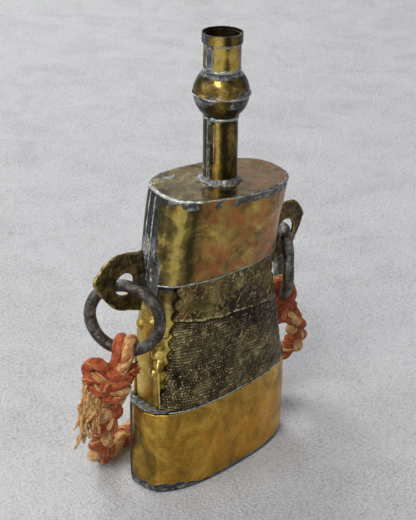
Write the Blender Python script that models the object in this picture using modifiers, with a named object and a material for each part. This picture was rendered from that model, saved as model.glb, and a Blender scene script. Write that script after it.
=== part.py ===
"""Soldered sheet-brass travelling water bottle, built piece by piece.

Metres, +Z up.  The origin is the middle of the foot at the level it stands on,
+X runs along the bottle's length and -Y is its embossed front.
"""
import math

import bmesh
import bpy
from mathutils import Vector

# ---- driving dimensions -------------------------------------------------
GAP = 0.0003                 # clearance between soldered or touching pieces
SHEET = 0.0012               # thickness of the hammered sheet
FOOT_HEIGHT = 0.0632         # top of the foot band
WAIST_TOP = 0.1580           # lower edge of the shoulder band
PLATE_TOP = 0.2178           # top face of the shoulder plate
NECK_X, NECK_Y = 0.0034, -0.0031   # the neck stands a little off the foot's middle
NECK_RADIUS = 0.0117         # lower neck tube, outside
THROAT_RADIUS = 0.0125       # upper neck tube, outside
MOUTH_RADIUS = 0.0133        # mouth band, outside
TUBE_WALL = 0.0012
KNOB_RADIUS = 0.0190
KNOB_HEIGHT = 0.2796         # middle of the knob
MOUTH_HEIGHT = 0.3200        # top of the bottle
MOUTH_BAND = 0.0062          # height of the mouth band
KNOB_STEPS = 28              # flats round the knob

LUG_SHEET = 0.0022
LUG_HOLE_RADIUS = 0.0080
LUG_HOLE_REACH = 0.0758      # from the body's middle to the hole's centre
LUG_HEIGHT = {"left": 0.1620, "right": 0.1580}
LUG_REACH = {"left": 0.86, "right": 0.62}   # the right lug is the stubbier one
# the lug's tip as corners (outwards, up) from the hole, before LUG_REACH shortens it
LUG_TIP = ((0.007, 0.0222), (0.017, 0.0198), (0.0245, 0.0140), (0.0293, 0.0082),
           (0.0262, 0.0012), (0.0185, -0.0080), (0.0075, -0.0172))
RING_RADIUS = 0.0244         # middle of the wire
WIRE_RADIUS = 0.0043
WIRE_DROP = 0.0013           # the wire rests this far under the hole's centre
# each ring's plane, turned from +X
RING_TURN = {"left": math.radians(-58.0), "right": math.radians(50.0)}
ROPE_RADIUS = 0.0072
ROPE_SPACING = 0.016         # between the cord's rings of points
# each knot's centre and half sizes
KNOTS = {
    "left": ((-0.0845, 0.0056, 0.0915), (0.0105, 0.0105, 0.0130)),
    "right": ((0.0775, -0.0010, 0.0908), (0.0085, 0.0085, 0.0115)),
}

# Outside of the body: height, half length, half depth, squareness, turn, centre
FOOT = (0.0, 0.0692, 0.0297, 2.6, 0.0, 0.0, 0.0)
BODY = (
    (FOOT_HEIGHT, 0.0640, 0.0292, 3.0, 0.0, 0.0, 0.0),
    (0.1000, 0.0625, 0.0284, 2.8, -0.5, -0.0010, 0.0010),
    (0.1400, 0.0605, 0.0270, 2.5, -1.5, -0.0018, 0.0018),
    (WAIST_TOP, 0.0572, 0.0270, 2.4, -3.0, -0.0012, 0.0012),
    (0.1850, 0.0528, 0.0290, 2.5, -8.0, 0.0004, -0.0004),
    (PLATE_TOP, 0.0488, 0.0325, 2.6, -15.0, NECK_X, NECK_Y),
)
# where the front and back sheets end, in degrees round from each end
SEAM_AT_FOOT, SEAM_AT_WAIST = 19.0, 46.5
TEETH = 10                   # cramps along each seam
TOOTH_DEPTH = 6.0            # in degrees
FOOT_SEAM = 22.0             # foot band's seams, behind each end
LEDGE_SPREAD = 31.0          # half width of each ledge, in degrees

parts = bpy.data.collections.new("water_bottle")


# ---- helpers --------------------------------------------------------------
def clear_scene():
    for item in list(bpy.data.objects):
        bpy.data.objects.remove(item, do_unlink=True)
    bpy.context.scene.collection.children.link(parts)


def metal(name, colour, roughness, metallic=1.0):
    material = bpy.data.materials.new(name)
    material.use_nodes = True
    shader = material.node_tree.nodes["Principled BSDF"]
    shader.inputs["Base Color"].default_value = (*colour, 1.0)
    shader.inputs["Roughness"].default_value = roughness
    shader.inputs["Metallic"].default_value = metallic
    return material


def add(name, mesh, material):
    item = bpy.data.objects.new(name, mesh)
    parts.objects.link(item)
    item.data.materials.append(material)
    return item


def hang(item, hanger):
    """Parent a piece to the empty on its joint's axis, where it already is."""
    bpy.context.view_layer.update()
    item.parent = hanger
    item.matrix_parent_inverse = hanger.matrix_world.inverted()


def move_to_parts(item):
    for collection in list(item.users_collection):
        collection.objects.unlink(item)
    parts.objects.link(item)


def solidify(item, thickness, offset=-1.0):
    shell = item.modifiers.new("sheet", "SOLIDIFY")
    shell.thickness = thickness
    shell.offset = offset
    shell.use_even_offset = True


def ease(low, high, share):
    return low + (high - low) * share


def section(height):
    """The body's outside at a height, blended between the stated sections."""
    if height <= BODY[0][0]:
        return BODY[0][1:]
    for below, above in zip(BODY, BODY[1:]):
        if height <= above[0]:
            share = (height - below[0]) / (above[0] - below[0])
            return tuple(ease(low, high, share) for low, high in zip(below[1:], above[1:]))
    return BODY[-1][1:]


def rim_point(shape, degrees, height, inset=0.0):
    """A point on a superellipse, moved in along its own normal by inset."""
    half_length, half_depth, square, turn, centre_x, centre_y = shape
    angle = math.radians(degrees)
    across, along = math.cos(angle), math.sin(angle)
    power = 2.0 / square
    x = half_length * math.copysign(abs(across) ** power, across)
    y = half_depth * math.copysign(abs(along) ** power, along)
    normal = Vector((
        math.copysign(abs(x / half_length) ** (square - 1.0), x) / half_length,
        math.copysign(abs(y / half_depth) ** (square - 1.0), y) / half_depth,
    )).normalized()
    x -= normal.x * inset
    y -= normal.y * inset
    twist = math.radians(turn)
    return Vector((
        x * math.cos(twist) - y * math.sin(twist) + centre_x,
        x * math.sin(twist) + y * math.cos(twist) + centre_y,
        height,
    ))


def grid_mesh(name, rows):
    """An open sheet through rows of points of equal length, facing outwards."""
    width = len(rows[0])
    faces = []
    for row in range(len(rows) - 1):
        for column in range(width - 1):
            first = row * width + column
            faces.append((first, first + 1, first + width + 1, first + width))
    mesh = bpy.data.meshes.new(name)
    mesh.from_pydata([tuple(point) for row in rows for point in row], [], faces)
    mesh.update()
    mesh.shade_smooth()
    mesh.set_sharp_from_angle(angle=math.radians(35.0))
    return mesh


def spread(start, end, steps):
    return [ease(start, end, step / steps) for step in range(steps + 1)]


def body_sheet(name, material, heights, start, end, columns, inset):
    """A sheet bent round the body between two angles, which may vary with height."""
    rows = []
    for height in heights:
        shape = section(height)
        angles = spread(start(height), end(height), columns)
        rows.append([rim_point(shape, angle, height, inset(height)) for angle in angles])
    item = add(name, grid_mesh(name, rows), material)
    solidify(item, SHEET)


def turned(name, material, profile, steps=24):
    """A closed profile of (radius, height) points, turned round the neck's axis."""
    points = [(radius, 0.0, height) for radius, height in profile]
    edges = [(index, (index + 1) % len(points)) for index in range(len(points))]
    mesh = bpy.data.meshes.new(name)
    mesh.from_pydata(points, edges, [])
    item = add(name, mesh, material)
    item.location = (NECK_X, NECK_Y, 0.0)
    screw = item.modifiers.new("turn", "SCREW")
    screw.axis = "Z"
    screw.steps = steps
    screw.render_steps = steps
    screw.merge_threshold = 0.00001
    screw.use_merge_vertices = True
    screw.use_smooth_shade = True


def to_mesh(curve_item):
    """Replace a curve object by a welded mesh object of the same name."""
    name = curve_item.name
    material = curve_item.data.materials[0]
    graph = bpy.context.evaluated_depsgraph_get()
    mesh = bpy.data.meshes.new_from_object(curve_item.evaluated_get(graph))
    work = bmesh.new()
    work.from_mesh(mesh)
    bmesh.ops.remove_doubles(work, verts=work.verts, dist=0.000005)
    bmesh.ops.recalc_face_normals(work, faces=work.faces)
    work.to_mesh(mesh)
    work.free()
    mesh.shade_smooth()
    mesh.set_sharp_from_angle(angle=math.radians(40.0))
    item = bpy.data.objects.new(name + "_solid", mesh)
    item.matrix_world = curve_item.matrix_world.copy()
    bpy.data.objects.remove(curve_item, do_unlink=True)
    item.name = name
    parts.objects.link(item)
    if not mesh.materials:
        mesh.materials.append(material)


def smooth_route(route, spacing):
    """Points every spacing along a Catmull-Rom curve through the route."""
    route = [Vector(point) for point in route]
    padded = [2 * route[0] - route[1]] + route + [2 * route[-1] - route[-2]]
    fine = []
    samples = 24
    for index in range(1, len(padded) - 2):
        before, here, there, after = padded[index - 1:index + 3]
        for sample in range(samples):
            t = sample / samples
            fine.append(0.5 * (2 * here + (there - before) * t
                               + (2 * before - 5 * here + 4 * there - after) * t * t
                               + (3 * here - before - 3 * there + after) * t ** 3))
    fine.append(route[-1])
    length = sum((b - a).length for a, b in zip(fine, fine[1:]))
    count = max(2, round(length / spacing))
    step = length / count
    even = [fine[0]]
    travelled = 0.0
    for a, b in zip(fine, fine[1:]):
        piece = (b - a).length
        while len(even) < count and travelled + piece >= len(even) * step:
            share = (len(even) * step - travelled) / piece
            even.append(a.lerp(b, share))
        travelled += piece
    even.append(fine[-1])
    return even


def rope_tube(name, material, route):
    """A round tube through a route, with filled ends."""
    curve = bpy.data.curves.new(name, "CURVE")
    curve.dimensions = "3D"
    curve.bevel_depth = ROPE_RADIUS
    curve.bevel_resolution = 2
    curve.use_fill_caps = True
    points = smooth_route(route, ROPE_SPACING)
    spline = curve.splines.new("POLY")
    spline.points.add(len(points) - 1)
    for target, point in zip(spline.points, points):
        target.co = (*point, 1.0)
    curve.materials.append(material)
    parts.objects.link(bpy.data.objects.new(name, curve))


def flat_plate(name, material, outlines, thickness):
    """A flat sheet in its own XY plane with the given outlines, holes included."""
    curve = bpy.data.curves.new(name, "CURVE")
    curve.dimensions = "2D"
    curve.fill_mode = "BOTH"
    curve.extrude = thickness / 2.0
    for outline in outlines:
        spline = curve.splines.new("POLY")
        spline.points.add(len(outline) - 1)
        spline.use_cyclic_u = True
        for target, point in zip(spline.points, outline):
            target.co = (point[0], point[1], 0.0, 1.0)
    curve.materials.append(material)
    item = bpy.data.objects.new(name, curve)
    parts.objects.link(item)
    return item


# ---- body -----------------------------------------------------------------
def build_foot(amber, solder):
    outline = [rim_point(FOOT[1:], angle, 0.0, SHEET + GAP) for angle in range(0, 360, 8)]
    base = flat_plate("base_plate", amber, [outline], SHEET)
    base.location = (0.0, 0.0, SHEET / 2.0)
    to_mesh(base)
    # two half bands, soldered together a little behind each end
    for name, start, end in (
        ("foot_band_front", -180.0 - FOOT_SEAM, FOOT_SEAM),
        ("foot_band_back", FOOT_SEAM, 180.0 - FOOT_SEAM),
    ):
        share = GAP / (2.0 * FOOT[2]) * 180.0 / math.pi
        rows = []
        for height in spread(0.0, FOOT_HEIGHT, 3):
            angles = spread(start + share, end - share, 26)
            rows.append([rim_point(FOOT[1:], angle, height) for angle in angles])
        band = add(name, grid_mesh(name, rows), amber)
        solidify(band, SHEET)
    # leaf-shaped ledges close the step between the foot and each end of the body
    level = FOOT_HEIGHT + GAP
    for side, middle in (("left", 180.0), ("right", 0.0)):
        angles = spread(middle - LEDGE_SPREAD, middle + LEDGE_SPREAD, 20)
        inner = [rim_point(section(level), angle, level, -GAP) for angle in angles]
        outer = [rim_point(FOOT[1:], angle, level) for angle in angles]
        name = "foot_ledge_" + side
        ledge = add(name, grid_mesh(name, [outer, inner]), solder)
        solidify(ledge, SHEET, 1.0)


def seam_share(height):
    """How far up the waist a height is, from 0 at the foot band to 1 at the shoulder's."""
    return min(1.0, (height - FOOT_HEIGHT) / (WAIST_TOP - FOOT_HEIGHT))


def seam(height):
    """How far a seam lies from the end of the body, in degrees: it leans in as it climbs."""
    return ease(SEAM_AT_FOOT, SEAM_AT_WAIST, math.sin(0.5 * math.pi * seam_share(height)))


def cramps(height):
    """The rounded teeth along a seam, as an angle added to it."""
    return TOOTH_DEPTH * abs(math.sin(math.pi * TEETH * seam_share(height)))


def build_waist(dark, brass):
    low = FOOT_HEIGHT + SHEET + 2 * GAP
    high = WAIST_TOP + 0.0030
    under = SHEET + 2 * GAP      # the side sheets lie under the front and back ones
    lap = 6.0                    # how far the sheets lap, in degrees

    def upper_layer(height):
        """Flush with the foot band below, and under the shoulder band's edge above."""
        return ease(0.0, SHEET + 2 * GAP, seam_share(height))

    def lower_layer(height):
        return upper_layer(height) + under

    toothed = spread(low, high, 4 * TEETH)
    plain = spread(low, high, 6)
    body_sheet("waist_panel_front", dark, toothed,
               lambda z: -180.0 + seam(z) - cramps(z), lambda z: -seam(z) + cramps(z),
               12, upper_layer)
    body_sheet("waist_panel_back", brass, plain,
               seam, lambda z: 180.0 - seam(z), 14, upper_layer)
    for side, middle in (("left", 180.0), ("right", 0.0)):
        body_sheet("waist_side_" + side, brass, plain,
                   lambda z, m=middle: m - seam(z) - lap, lambda z, m=middle: m + seam(z) + lap,
                   10, lower_layer)


def build_shoulder(copper):
    def flush(_):
        return 0.0

    heights = spread(WAIST_TOP, PLATE_TOP - SHEET - GAP, 5)
    share = GAP / (2.0 * BODY[-1][2]) * 180.0 / math.pi
    body_sheet("shoulder_band_front", copper, heights,
               lambda z: -180.0 + share, lambda z: -share, 20, flush)
    body_sheet("shoulder_band_back", copper, heights,
               lambda z: share, lambda z: 180.0 - share, 20, flush)
    # top plate, with the hole that opens into the neck
    rim = [rim_point(section(PLATE_TOP), angle, 0.0) for angle in range(0, 360, 8)]
    radius = NECK_RADIUS - TUBE_WALL
    hole = [(NECK_X + radius * math.cos(math.radians(angle)),
             NECK_Y + radius * math.sin(math.radians(angle))) for angle in range(0, 360, 18)]
    plate = flat_plate("shoulder_plate", copper, [rim, hole], SHEET)
    plate.location = (0.0, 0.0, PLATE_TOP - SHEET / 2.0)
    to_mesh(plate)


# ---- neck -----------------------------------------------------------------
def arc(middle_height, radius, start, end, steps):
    return [(radius * math.cos(math.radians(angle)),
             middle_height + radius * math.sin(math.radians(angle)))
            for angle in spread(start, end, steps)]


def sleeve(name, material, radius, low, high, wall=TUBE_WALL):
    """A plain round tube, drawn down its outside and up its inside."""
    profile = [(radius, high), (radius, low), (radius - wall, low), (radius - wall, high)]
    turned(name, material, profile)


def bead(name, material, inner, height, thick):
    """A solder bead laid round a tube, half round outside."""
    half = thick / 2.0
    profile = [(inner + half * math.cos(math.radians(angle)),
                height + half * math.sin(math.radians(angle)))
               for angle in spread(90.0, -90.0, 4)]
    turned(name, material, profile)


def build_neck(brass, copper, solder):
    base = PLATE_TOP + GAP
    tube_end = KNOB_HEIGHT - math.sqrt(KNOB_RADIUS ** 2 - NECK_RADIUS ** 2)
    throat_start = KNOB_HEIGHT + math.sqrt(KNOB_RADIUS ** 2 - THROAT_RADIUS ** 2)
    sleeve("neck_tube_lower", brass, NECK_RADIUS, base, tube_end - GAP)
    sleeve("neck_tube_upper", brass, THROAT_RADIUS, throat_start + GAP, MOUTH_HEIGHT - 0.0004)
    sleeve("mouth_band", brass, MOUTH_RADIUS + 0.0003, MOUTH_HEIGHT - MOUTH_BAND, MOUTH_HEIGHT,
           MOUTH_RADIUS - THROAT_RADIUS)
    # the knob is two hollow cups, soldered together at their rims
    low_angle = math.degrees(math.asin((tube_end - KNOB_HEIGHT) / KNOB_RADIUS))
    high_angle = math.degrees(math.asin((throat_start - KNOB_HEIGHT) / KNOB_RADIUS))
    gap_angle = math.degrees(GAP / (2.0 * KNOB_RADIUS))
    hollow = KNOB_RADIUS - TUBE_WALL
    for name, top, bottom in (
        ("knob_lower_half", -gap_angle, low_angle),
        ("knob_upper_half", high_angle, gap_angle),
    ):
        outside = arc(KNOB_HEIGHT, KNOB_RADIUS, top, bottom, 9)
        inside = arc(KNOB_HEIGHT, hollow, bottom, top, 9)
        turned(name, brass, outside + inside, KNOB_STEPS)
    # solder: a collar on the plate, beads under and over the knob, and one on the throat
    collar_low = PLATE_TOP + GAP
    collar = [(NECK_RADIUS + GAP, collar_low + 0.0042), (NECK_RADIUS + 0.0018, collar_low + 0.0024),
              (NECK_RADIUS + 0.0044, collar_low + 0.0006), (NECK_RADIUS + 0.0044, collar_low),
              (NECK_RADIUS + GAP, collar_low)]
    turned("neck_foot_solder", solder, collar)
    for name, radius, height, thick in (
        ("knob_bead_lower", NECK_RADIUS, tube_end - 0.0018, 0.0020),
        ("knob_bead_upper", THROAT_RADIUS, throat_start + 0.0016, 0.0018),
        ("knob_seam_solder", KNOB_RADIUS, KNOB_HEIGHT, 0.0012),
        ("throat_solder", THROAT_RADIUS, MOUTH_HEIGHT - MOUTH_BAND - 0.0012, 0.0008),
    ):
        bead(name, solder, radius + GAP, height, thick)


# ---- lugs, rings and cord ---------------------------------------------------
def rounded(points, steps):
    """A closed smooth outline through the given corners."""
    count = len(points)
    outline = []
    for index in range(count):
        before, here, there, after = (Vector(points[(index + shift) % count])
                                      for shift in (-1, 0, 1, 2))
        for step in range(steps):
            t = step / steps
            outline.append(0.5 * (2 * here + (there - before) * t
                                  + (2 * before - 5 * here + 4 * there - after) * t * t
                                  + (3 * here - before - 3 * there + after) * t ** 3))
    return outline


def lug_frame(side):
    """The hole's centre and the direction that the lug reaches in."""
    height = LUG_HEIGHT[side]
    turn, centre_x, centre_y = section(height)[3:6]
    away = math.radians(turn) + (math.pi if side == "left" else 0.0)
    reach = Vector((math.cos(away), math.sin(away), 0.0))
    return Vector((centre_x, centre_y, height)) + reach * LUG_HOLE_REACH, reach


def build_lug(side, material):
    """A shield-shaped ear on the end of the body, with the ring's hole in it."""
    hole, reach = lug_frame(side)
    stretch = LUG_REACH[side]
    root = -LUG_HOLE_REACH + section(LUG_HEIGHT[side])[0] + GAP
    upper = [(root + 0.002, 0.0165), (root + 0.008, 0.0202), (-0.002, 0.0222)]
    lower = [(-0.004, -0.0205), (root + 0.001, -0.0215)]
    outline = rounded(upper + [(x * stretch, z) for x, z in LUG_TIP] + lower, 3)
    hand = 1.0 if side == "right" else -1.0
    # keep the root clear of the tapering body all the way up
    drawn = []
    for point in outline:
        edge = section(LUG_HEIGHT[side] + point.y)
        slack = edge[0] - LUG_HOLE_REACH + GAP + SHEET
        drawn.append((hand * max(point.x, slack), point.y))
    opening = [(LUG_HOLE_RADIUS * math.cos(math.radians(angle)),
                LUG_HOLE_RADIUS * math.sin(math.radians(angle))) for angle in range(0, 360, 15)]
    lug = flat_plate("lug_" + side, material, [drawn, opening], LUG_SHEET)
    lug.location = hole
    lug.rotation_euler = (math.pi / 2.0, 0.0, math.atan2(hand * reach.y, hand * reach.x))
    bpy.context.view_layer.update()
    to_mesh(lug)


def ring_pivot(side):
    """Where the ring's wire passes through its lug, and the wire's direction there."""
    hole, _ = lug_frame(side)
    wire = Vector((math.cos(RING_TURN[side]), math.sin(RING_TURN[side]), 0.0))
    return hole - Vector((0.0, 0.0, WIRE_DROP)), wire


def build_ring(side, material):
    pivot, wire = ring_pivot(side)
    hanger = bpy.data.objects.new("ring_axis_" + side, None)
    hanger.location = pivot
    parts.objects.link(hanger)
    bpy.ops.mesh.primitive_torus_add(
        major_radius=RING_RADIUS, minor_radius=WIRE_RADIUS,
        major_segments=36, minor_segments=10,
        location=pivot - Vector((0.0, 0.0, RING_RADIUS)),
        rotation=(math.pi / 2.0, 0.0, math.atan2(wire.y, wire.x)))
    ring = bpy.context.object
    ring.name = "ring_" + side
    ring.data.name = ring.name
    move_to_parts(ring)
    ring.data.materials.append(material)
    ring.data.shade_smooth()
    hang(ring, hanger)
    return hanger


def lump(name, material, centre, half_sizes, hanger):
    """A knot's outer shape, squeezed out of a round cage."""
    bpy.ops.mesh.primitive_uv_sphere_add(segments=14, ring_count=8, radius=1.0, location=centre)
    knot = bpy.context.object
    knot.name = name
    knot.data.name = name
    knot.scale = half_sizes
    bpy.ops.object.transform_apply(location=False, rotation=False, scale=True)
    move_to_parts(knot)
    knot.data.materials.append(material)
    knot.data.shade_smooth()
    hang(knot, hanger)


# The carrying cord's route on each side: down from its knot, to the level that
# the bottle stands on, and behind the foot, where the two halves meet.
CORD_LEFT = ((-0.0825, 0.0110, 0.0730), (-0.0832, 0.0180, 0.0520), (-0.0828, 0.0260, 0.0320),
             (-0.0785, 0.0335, 0.0155), (-0.0680, 0.0400, 0.0085), (-0.0530, 0.0450, 0.0078),
             (-0.0360, 0.0480, 0.0078), (-0.0150, 0.0490, 0.0078), (0.0048, 0.0490, 0.0078))
CORD_RIGHT = ((0.0930, 0.0000, 0.0760), (0.1010, 0.0040, 0.0640), (0.1070, 0.0085, 0.0500),
              (0.1090, 0.0150, 0.0385), (0.1040, 0.0250, 0.0305), (0.0920, 0.0350, 0.0225),
              (0.0740, 0.0430, 0.0130), (0.0530, 0.0475, 0.0080), (0.0290, 0.0490, 0.0078),
              (0.0054, 0.0490, 0.0078))


def build_cord(rope, hangers):
    rope_tube("cord_left", rope, CORD_LEFT)
    rope_tube("cord_right", rope, CORD_RIGHT)
    for side, hanger in hangers.items():
        centre, half_sizes = KNOTS[side]
        lump("knot_" + side, rope, centre, half_sizes, hanger)


def main():
    clear_scene()
    amber = metal("amber_brass", (0.42, 0.27, 0.08), 0.33)
    copper = metal("coppered_brass", (0.42, 0.24, 0.12), 0.36)
    brass = metal("bright_brass", (0.52, 0.38, 0.12), 0.28)
    dark = metal("dark_embossed", (0.12, 0.09, 0.03), 0.42)
    olive = metal("olive_brass", (0.14, 0.11, 0.045), 0.42)
    solder = metal("solder", (0.30, 0.31, 0.32), 0.38)
    iron = metal("dark_iron", (0.07, 0.065, 0.065), 0.45)
    rope = metal("rust_cord", (0.50, 0.14, 0.05), 0.95, 0.0)
    build_foot(amber, solder)
    build_waist(dark, brass)
    build_shoulder(copper)
    build_neck(brass, copper, solder)
    hangers = {}
    for side in ("left", "right"):
        build_lug(side, olive)
        hangers[side] = build_ring(side, iron)
    build_cord(rope, hangers)


main()
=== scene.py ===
"""Visual model of a soldered sheet-brass travelling water bottle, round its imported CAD.

Metres, +Z up.  +X runs along the bottle's length and -Y is its embossed front.
Angles run round the body in degrees: 0 is the right end, -90 the middle of the
front, 180 (or -180) the left end and 90 the middle of the back.
"""
import math

import bpy
import numpy as np
from mathutils import Matrix, Vector, noise


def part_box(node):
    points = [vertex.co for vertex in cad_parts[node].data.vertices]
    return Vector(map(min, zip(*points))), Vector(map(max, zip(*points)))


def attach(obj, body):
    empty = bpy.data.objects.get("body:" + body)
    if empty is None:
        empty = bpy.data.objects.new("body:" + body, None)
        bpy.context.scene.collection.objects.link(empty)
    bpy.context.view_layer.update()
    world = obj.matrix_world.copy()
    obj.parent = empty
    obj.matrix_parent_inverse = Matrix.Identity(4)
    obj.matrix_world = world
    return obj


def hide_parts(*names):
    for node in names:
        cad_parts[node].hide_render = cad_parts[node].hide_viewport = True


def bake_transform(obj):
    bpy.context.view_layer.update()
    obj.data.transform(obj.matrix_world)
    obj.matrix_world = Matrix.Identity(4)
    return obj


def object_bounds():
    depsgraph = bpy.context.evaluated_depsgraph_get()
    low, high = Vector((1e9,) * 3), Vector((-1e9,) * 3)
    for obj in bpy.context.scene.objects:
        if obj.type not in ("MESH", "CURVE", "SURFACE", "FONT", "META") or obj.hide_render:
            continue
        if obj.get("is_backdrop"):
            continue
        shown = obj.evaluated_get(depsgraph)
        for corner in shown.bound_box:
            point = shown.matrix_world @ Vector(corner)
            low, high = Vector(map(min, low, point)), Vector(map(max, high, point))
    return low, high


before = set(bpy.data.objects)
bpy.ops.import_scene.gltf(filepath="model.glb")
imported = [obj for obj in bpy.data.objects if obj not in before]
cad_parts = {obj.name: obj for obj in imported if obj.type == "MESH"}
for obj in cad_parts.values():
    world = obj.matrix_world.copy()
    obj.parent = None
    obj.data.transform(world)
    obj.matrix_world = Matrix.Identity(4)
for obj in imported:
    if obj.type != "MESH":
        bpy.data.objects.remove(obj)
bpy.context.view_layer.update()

# ---- the CAD's own dimensions, in metres -------------------------------------
GAP = 0.0003
SHEET = 0.0012
FOOT_HEIGHT = 0.0632
WAIST_TOP = 0.1580
PLATE_TOP = 0.2178
NECK_X, NECK_Y = 0.0034, -0.0031
NECK_RADIUS = 0.0117
THROAT_RADIUS = 0.0125
MOUTH_RADIUS = 0.0136
TUBE_WALL = 0.0012
KNOB_RADIUS = 0.0190
KNOB_HEIGHT = 0.2796
MOUTH_HEIGHT = 0.3200
MOUTH_BAND = 0.0062
RING_RADIUS = 0.0244
WIRE_RADIUS = 0.0043

# each outline: half length, half depth, squareness, turn, centre x, centre y
FOOT = (0.0692, 0.0297, 2.6, 0.0, 0.0, 0.0)
LEVELS = (FOOT_HEIGHT, 0.1000, 0.1400, WAIST_TOP, 0.1850, PLATE_TOP)
BODY = (
    (0.0640, 0.0292, 3.0, 0.0, 0.0, 0.0),
    (0.0625, 0.0284, 2.8, -0.5, -0.0010, 0.0010),
    (0.0605, 0.0270, 2.5, -1.5, -0.0018, 0.0018),
    (0.0572, 0.0270, 2.4, -3.0, -0.0012, 0.0012),
    (0.0528, 0.0290, 2.5, -8.0, 0.0004, -0.0004),
    (0.0488, 0.0325, 2.6, -15.0, NECK_X, NECK_Y),
)
# in degrees: where the panels meet, the front panel's teeth and how far a sheet goes under
SEAM_AT_FOOT, SEAM_AT_WAIST = 19.0, 46.5
TEETH = 10
TOOTH_DEPTH = 6.0
SIDE_LAP = 6.0
FOOT_SEAM = 22.0
LEDGE_SPREAD = 31.0

RING_PIVOT = {"left": (-0.0766, 0.00591, 0.1607), "right": (0.0745, -0.00277, 0.1567)}
RING_WIRE = {"left": (0.52992, -0.84805, 0.0), "right": (0.64279, 0.76604, 0.0)}

# each half of the cord, from its knot to where the halves meet behind the foot
CORD_LEFT = ((-0.0825, 0.0110, 0.0730), (-0.0832, 0.0180, 0.0520), (-0.0828, 0.0260, 0.0320),
             (-0.0785, 0.0335, 0.0155), (-0.0680, 0.0400, 0.0085), (-0.0530, 0.0450, 0.0078),
             (-0.0360, 0.0480, 0.0078), (-0.0150, 0.0490, 0.0078), (0.0048, 0.0490, 0.0078))
CORD_RIGHT = ((0.0930, 0.0000, 0.0760), (0.1010, 0.0040, 0.0640), (0.1070, 0.0085, 0.0500),
              (0.1090, 0.0150, 0.0385), (0.1040, 0.0250, 0.0305), (0.0920, 0.0350, 0.0225),
              (0.0740, 0.0430, 0.0130), (0.0530, 0.0475, 0.0080), (0.0290, 0.0490, 0.0078),
              (0.0054, 0.0490, 0.0078))
CORDS = {"left": CORD_LEFT, "right": CORD_RIGHT}
HAND = {"left": -1.0, "right": 1.0}

# ---- details that only the visual model has ----------------------------------
SQUARE_WIDTH, SQUARE_HEIGHT = 0.0023, 0.0021
# each boss on the left end: degrees round the body, height and radius
BOSSES = ((-160.0, 0.1132, 0.0034), (-168.0, 0.1062, 0.0036), (-162.5, 0.0985, 0.0044),
          (-174.0, 0.0912, 0.0034), (-192.0, 0.1242, 0.0042), (-152.0, 0.1225, 0.0034),
          (-171.0, 0.1300, 0.0036))
AROUND_BODY = 0.190            # about the distance round the body
STRAND_STEP = 0.0009
FINE_ANGLES = np.arange(-400.0, 400.0, 0.05)

# colours from the darkest to the brightest, with their places on the ramp
STOPS = (0.34, 0.50, 0.68)
# dark brown for pits and tarnish, and also for painted shade
TARNISH_AND_SHADE = (0.045, 0.035, 0.020)
TIN = ((0.026, 0.027, 0.030), (0.110, 0.112, 0.114), (0.44, 0.45, 0.44))
DULL_AND_SHADED_TIN = (0.018, 0.018, 0.020)
# low, middle and high tone, stain and roughness
SHEET_METALS = {
    "amber_sheet": ((0.160, 0.112, 0.030), (0.460, 0.262, 0.038), (0.700, 0.430, 0.080),
                    (0.720, 0.300, 0.026), 0.26),
    "bright_sheet": ((0.200, 0.130, 0.025), (0.560, 0.400, 0.085), (0.860, 0.650, 0.200),
                     (0.350, 0.240, 0.080), 0.27),
    "neck_sheet": ((0.030, 0.024, 0.011), (0.190, 0.126, 0.030), (0.620, 0.435, 0.105),
                   (0.300, 0.130, 0.060), 0.24),
    "coppered_band": ((0.055, 0.043, 0.016), (0.185, 0.138, 0.044), (0.560, 0.430, 0.110),
                      (0.400, 0.140, 0.050), 0.22),
    "coppered_plate": ((0.050, 0.036, 0.015), (0.250, 0.190, 0.080), (0.460, 0.360, 0.160),
                       (0.330, 0.165, 0.070), 0.15),
}
# tones, roughness and, where it isn't the usual one, the size of the grain
SOLDERS = {
    "pale_solder": (((0.10, 0.105, 0.10), (0.34, 0.36, 0.32), (0.72, 0.74, 0.66)), 0.34),
    "dull_solder": (((0.030, 0.031, 0.034), (0.130, 0.132, 0.135), (0.44, 0.45, 0.45)), 0.42),
    "ledge_solder": (((0.028, 0.028, 0.028), (0.090, 0.090, 0.086), (0.28, 0.28, 0.27)), 0.38),
    "smooth_solder": (((0.060, 0.061, 0.064), (0.210, 0.212, 0.216), (0.42, 0.43, 0.43)), 0.34, 0.011),
}

# ---- camera --------------------------------------------------------------------
CAMERA_TURN = math.radians(45.9)      # to the left of straight in front
CAMERA_RISE = math.radians(25.8)
CAMERA_ROLL = math.radians(1.0)
CAMERA_DISTANCE = 0.9
CAMERA_AIM = Vector((-0.0014, 0.00185, 0.1561))
CAMERA_LENS = 88.93

UP = np.array((0.0, 0.0, 1.0))
PHOTO_LEFT = np.array((-math.cos(CAMERA_TURN), math.sin(CAMERA_TURN), 0.0))
PHOTO_SIDE = np.array((-0.72, -0.70, 0.0))      # the side of the bottle that the photo shows


def place_camera():
    back = Vector((-math.sin(CAMERA_TURN) * math.cos(CAMERA_RISE),
                   -math.cos(CAMERA_TURN) * math.cos(CAMERA_RISE), math.sin(CAMERA_RISE)))
    right = Vector((math.cos(CAMERA_TURN), -math.sin(CAMERA_TURN), 0.0))
    up = back.cross(right)
    rolled_right = right * math.cos(CAMERA_ROLL) + up * math.sin(CAMERA_ROLL)
    rolled_up = up * math.cos(CAMERA_ROLL) - right * math.sin(CAMERA_ROLL)
    lens = bpy.data.cameras.new("camera")
    lens.lens = CAMERA_LENS
    lens.clip_start = 0.02
    camera = bpy.data.objects.new("camera", lens)
    bpy.context.scene.collection.objects.link(camera)
    columns = (rolled_right, rolled_up, back, CAMERA_AIM + back * CAMERA_DISTANCE)
    camera.matrix_world = Matrix([[column[row] for column in columns] for row in range(3)]
                                 + [[0.0, 0.0, 0.0, 1.0]])
    bpy.context.scene.camera = camera


# ---- numbers -------------------------------------------------------------------
def smooth(value, low, high):
    """0 below low, 1 above high and an eased step between."""
    share = np.clip((value - low) / (high - low), 0.0, 1.0)
    return share * share * (3.0 - 2.0 * share)


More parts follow.
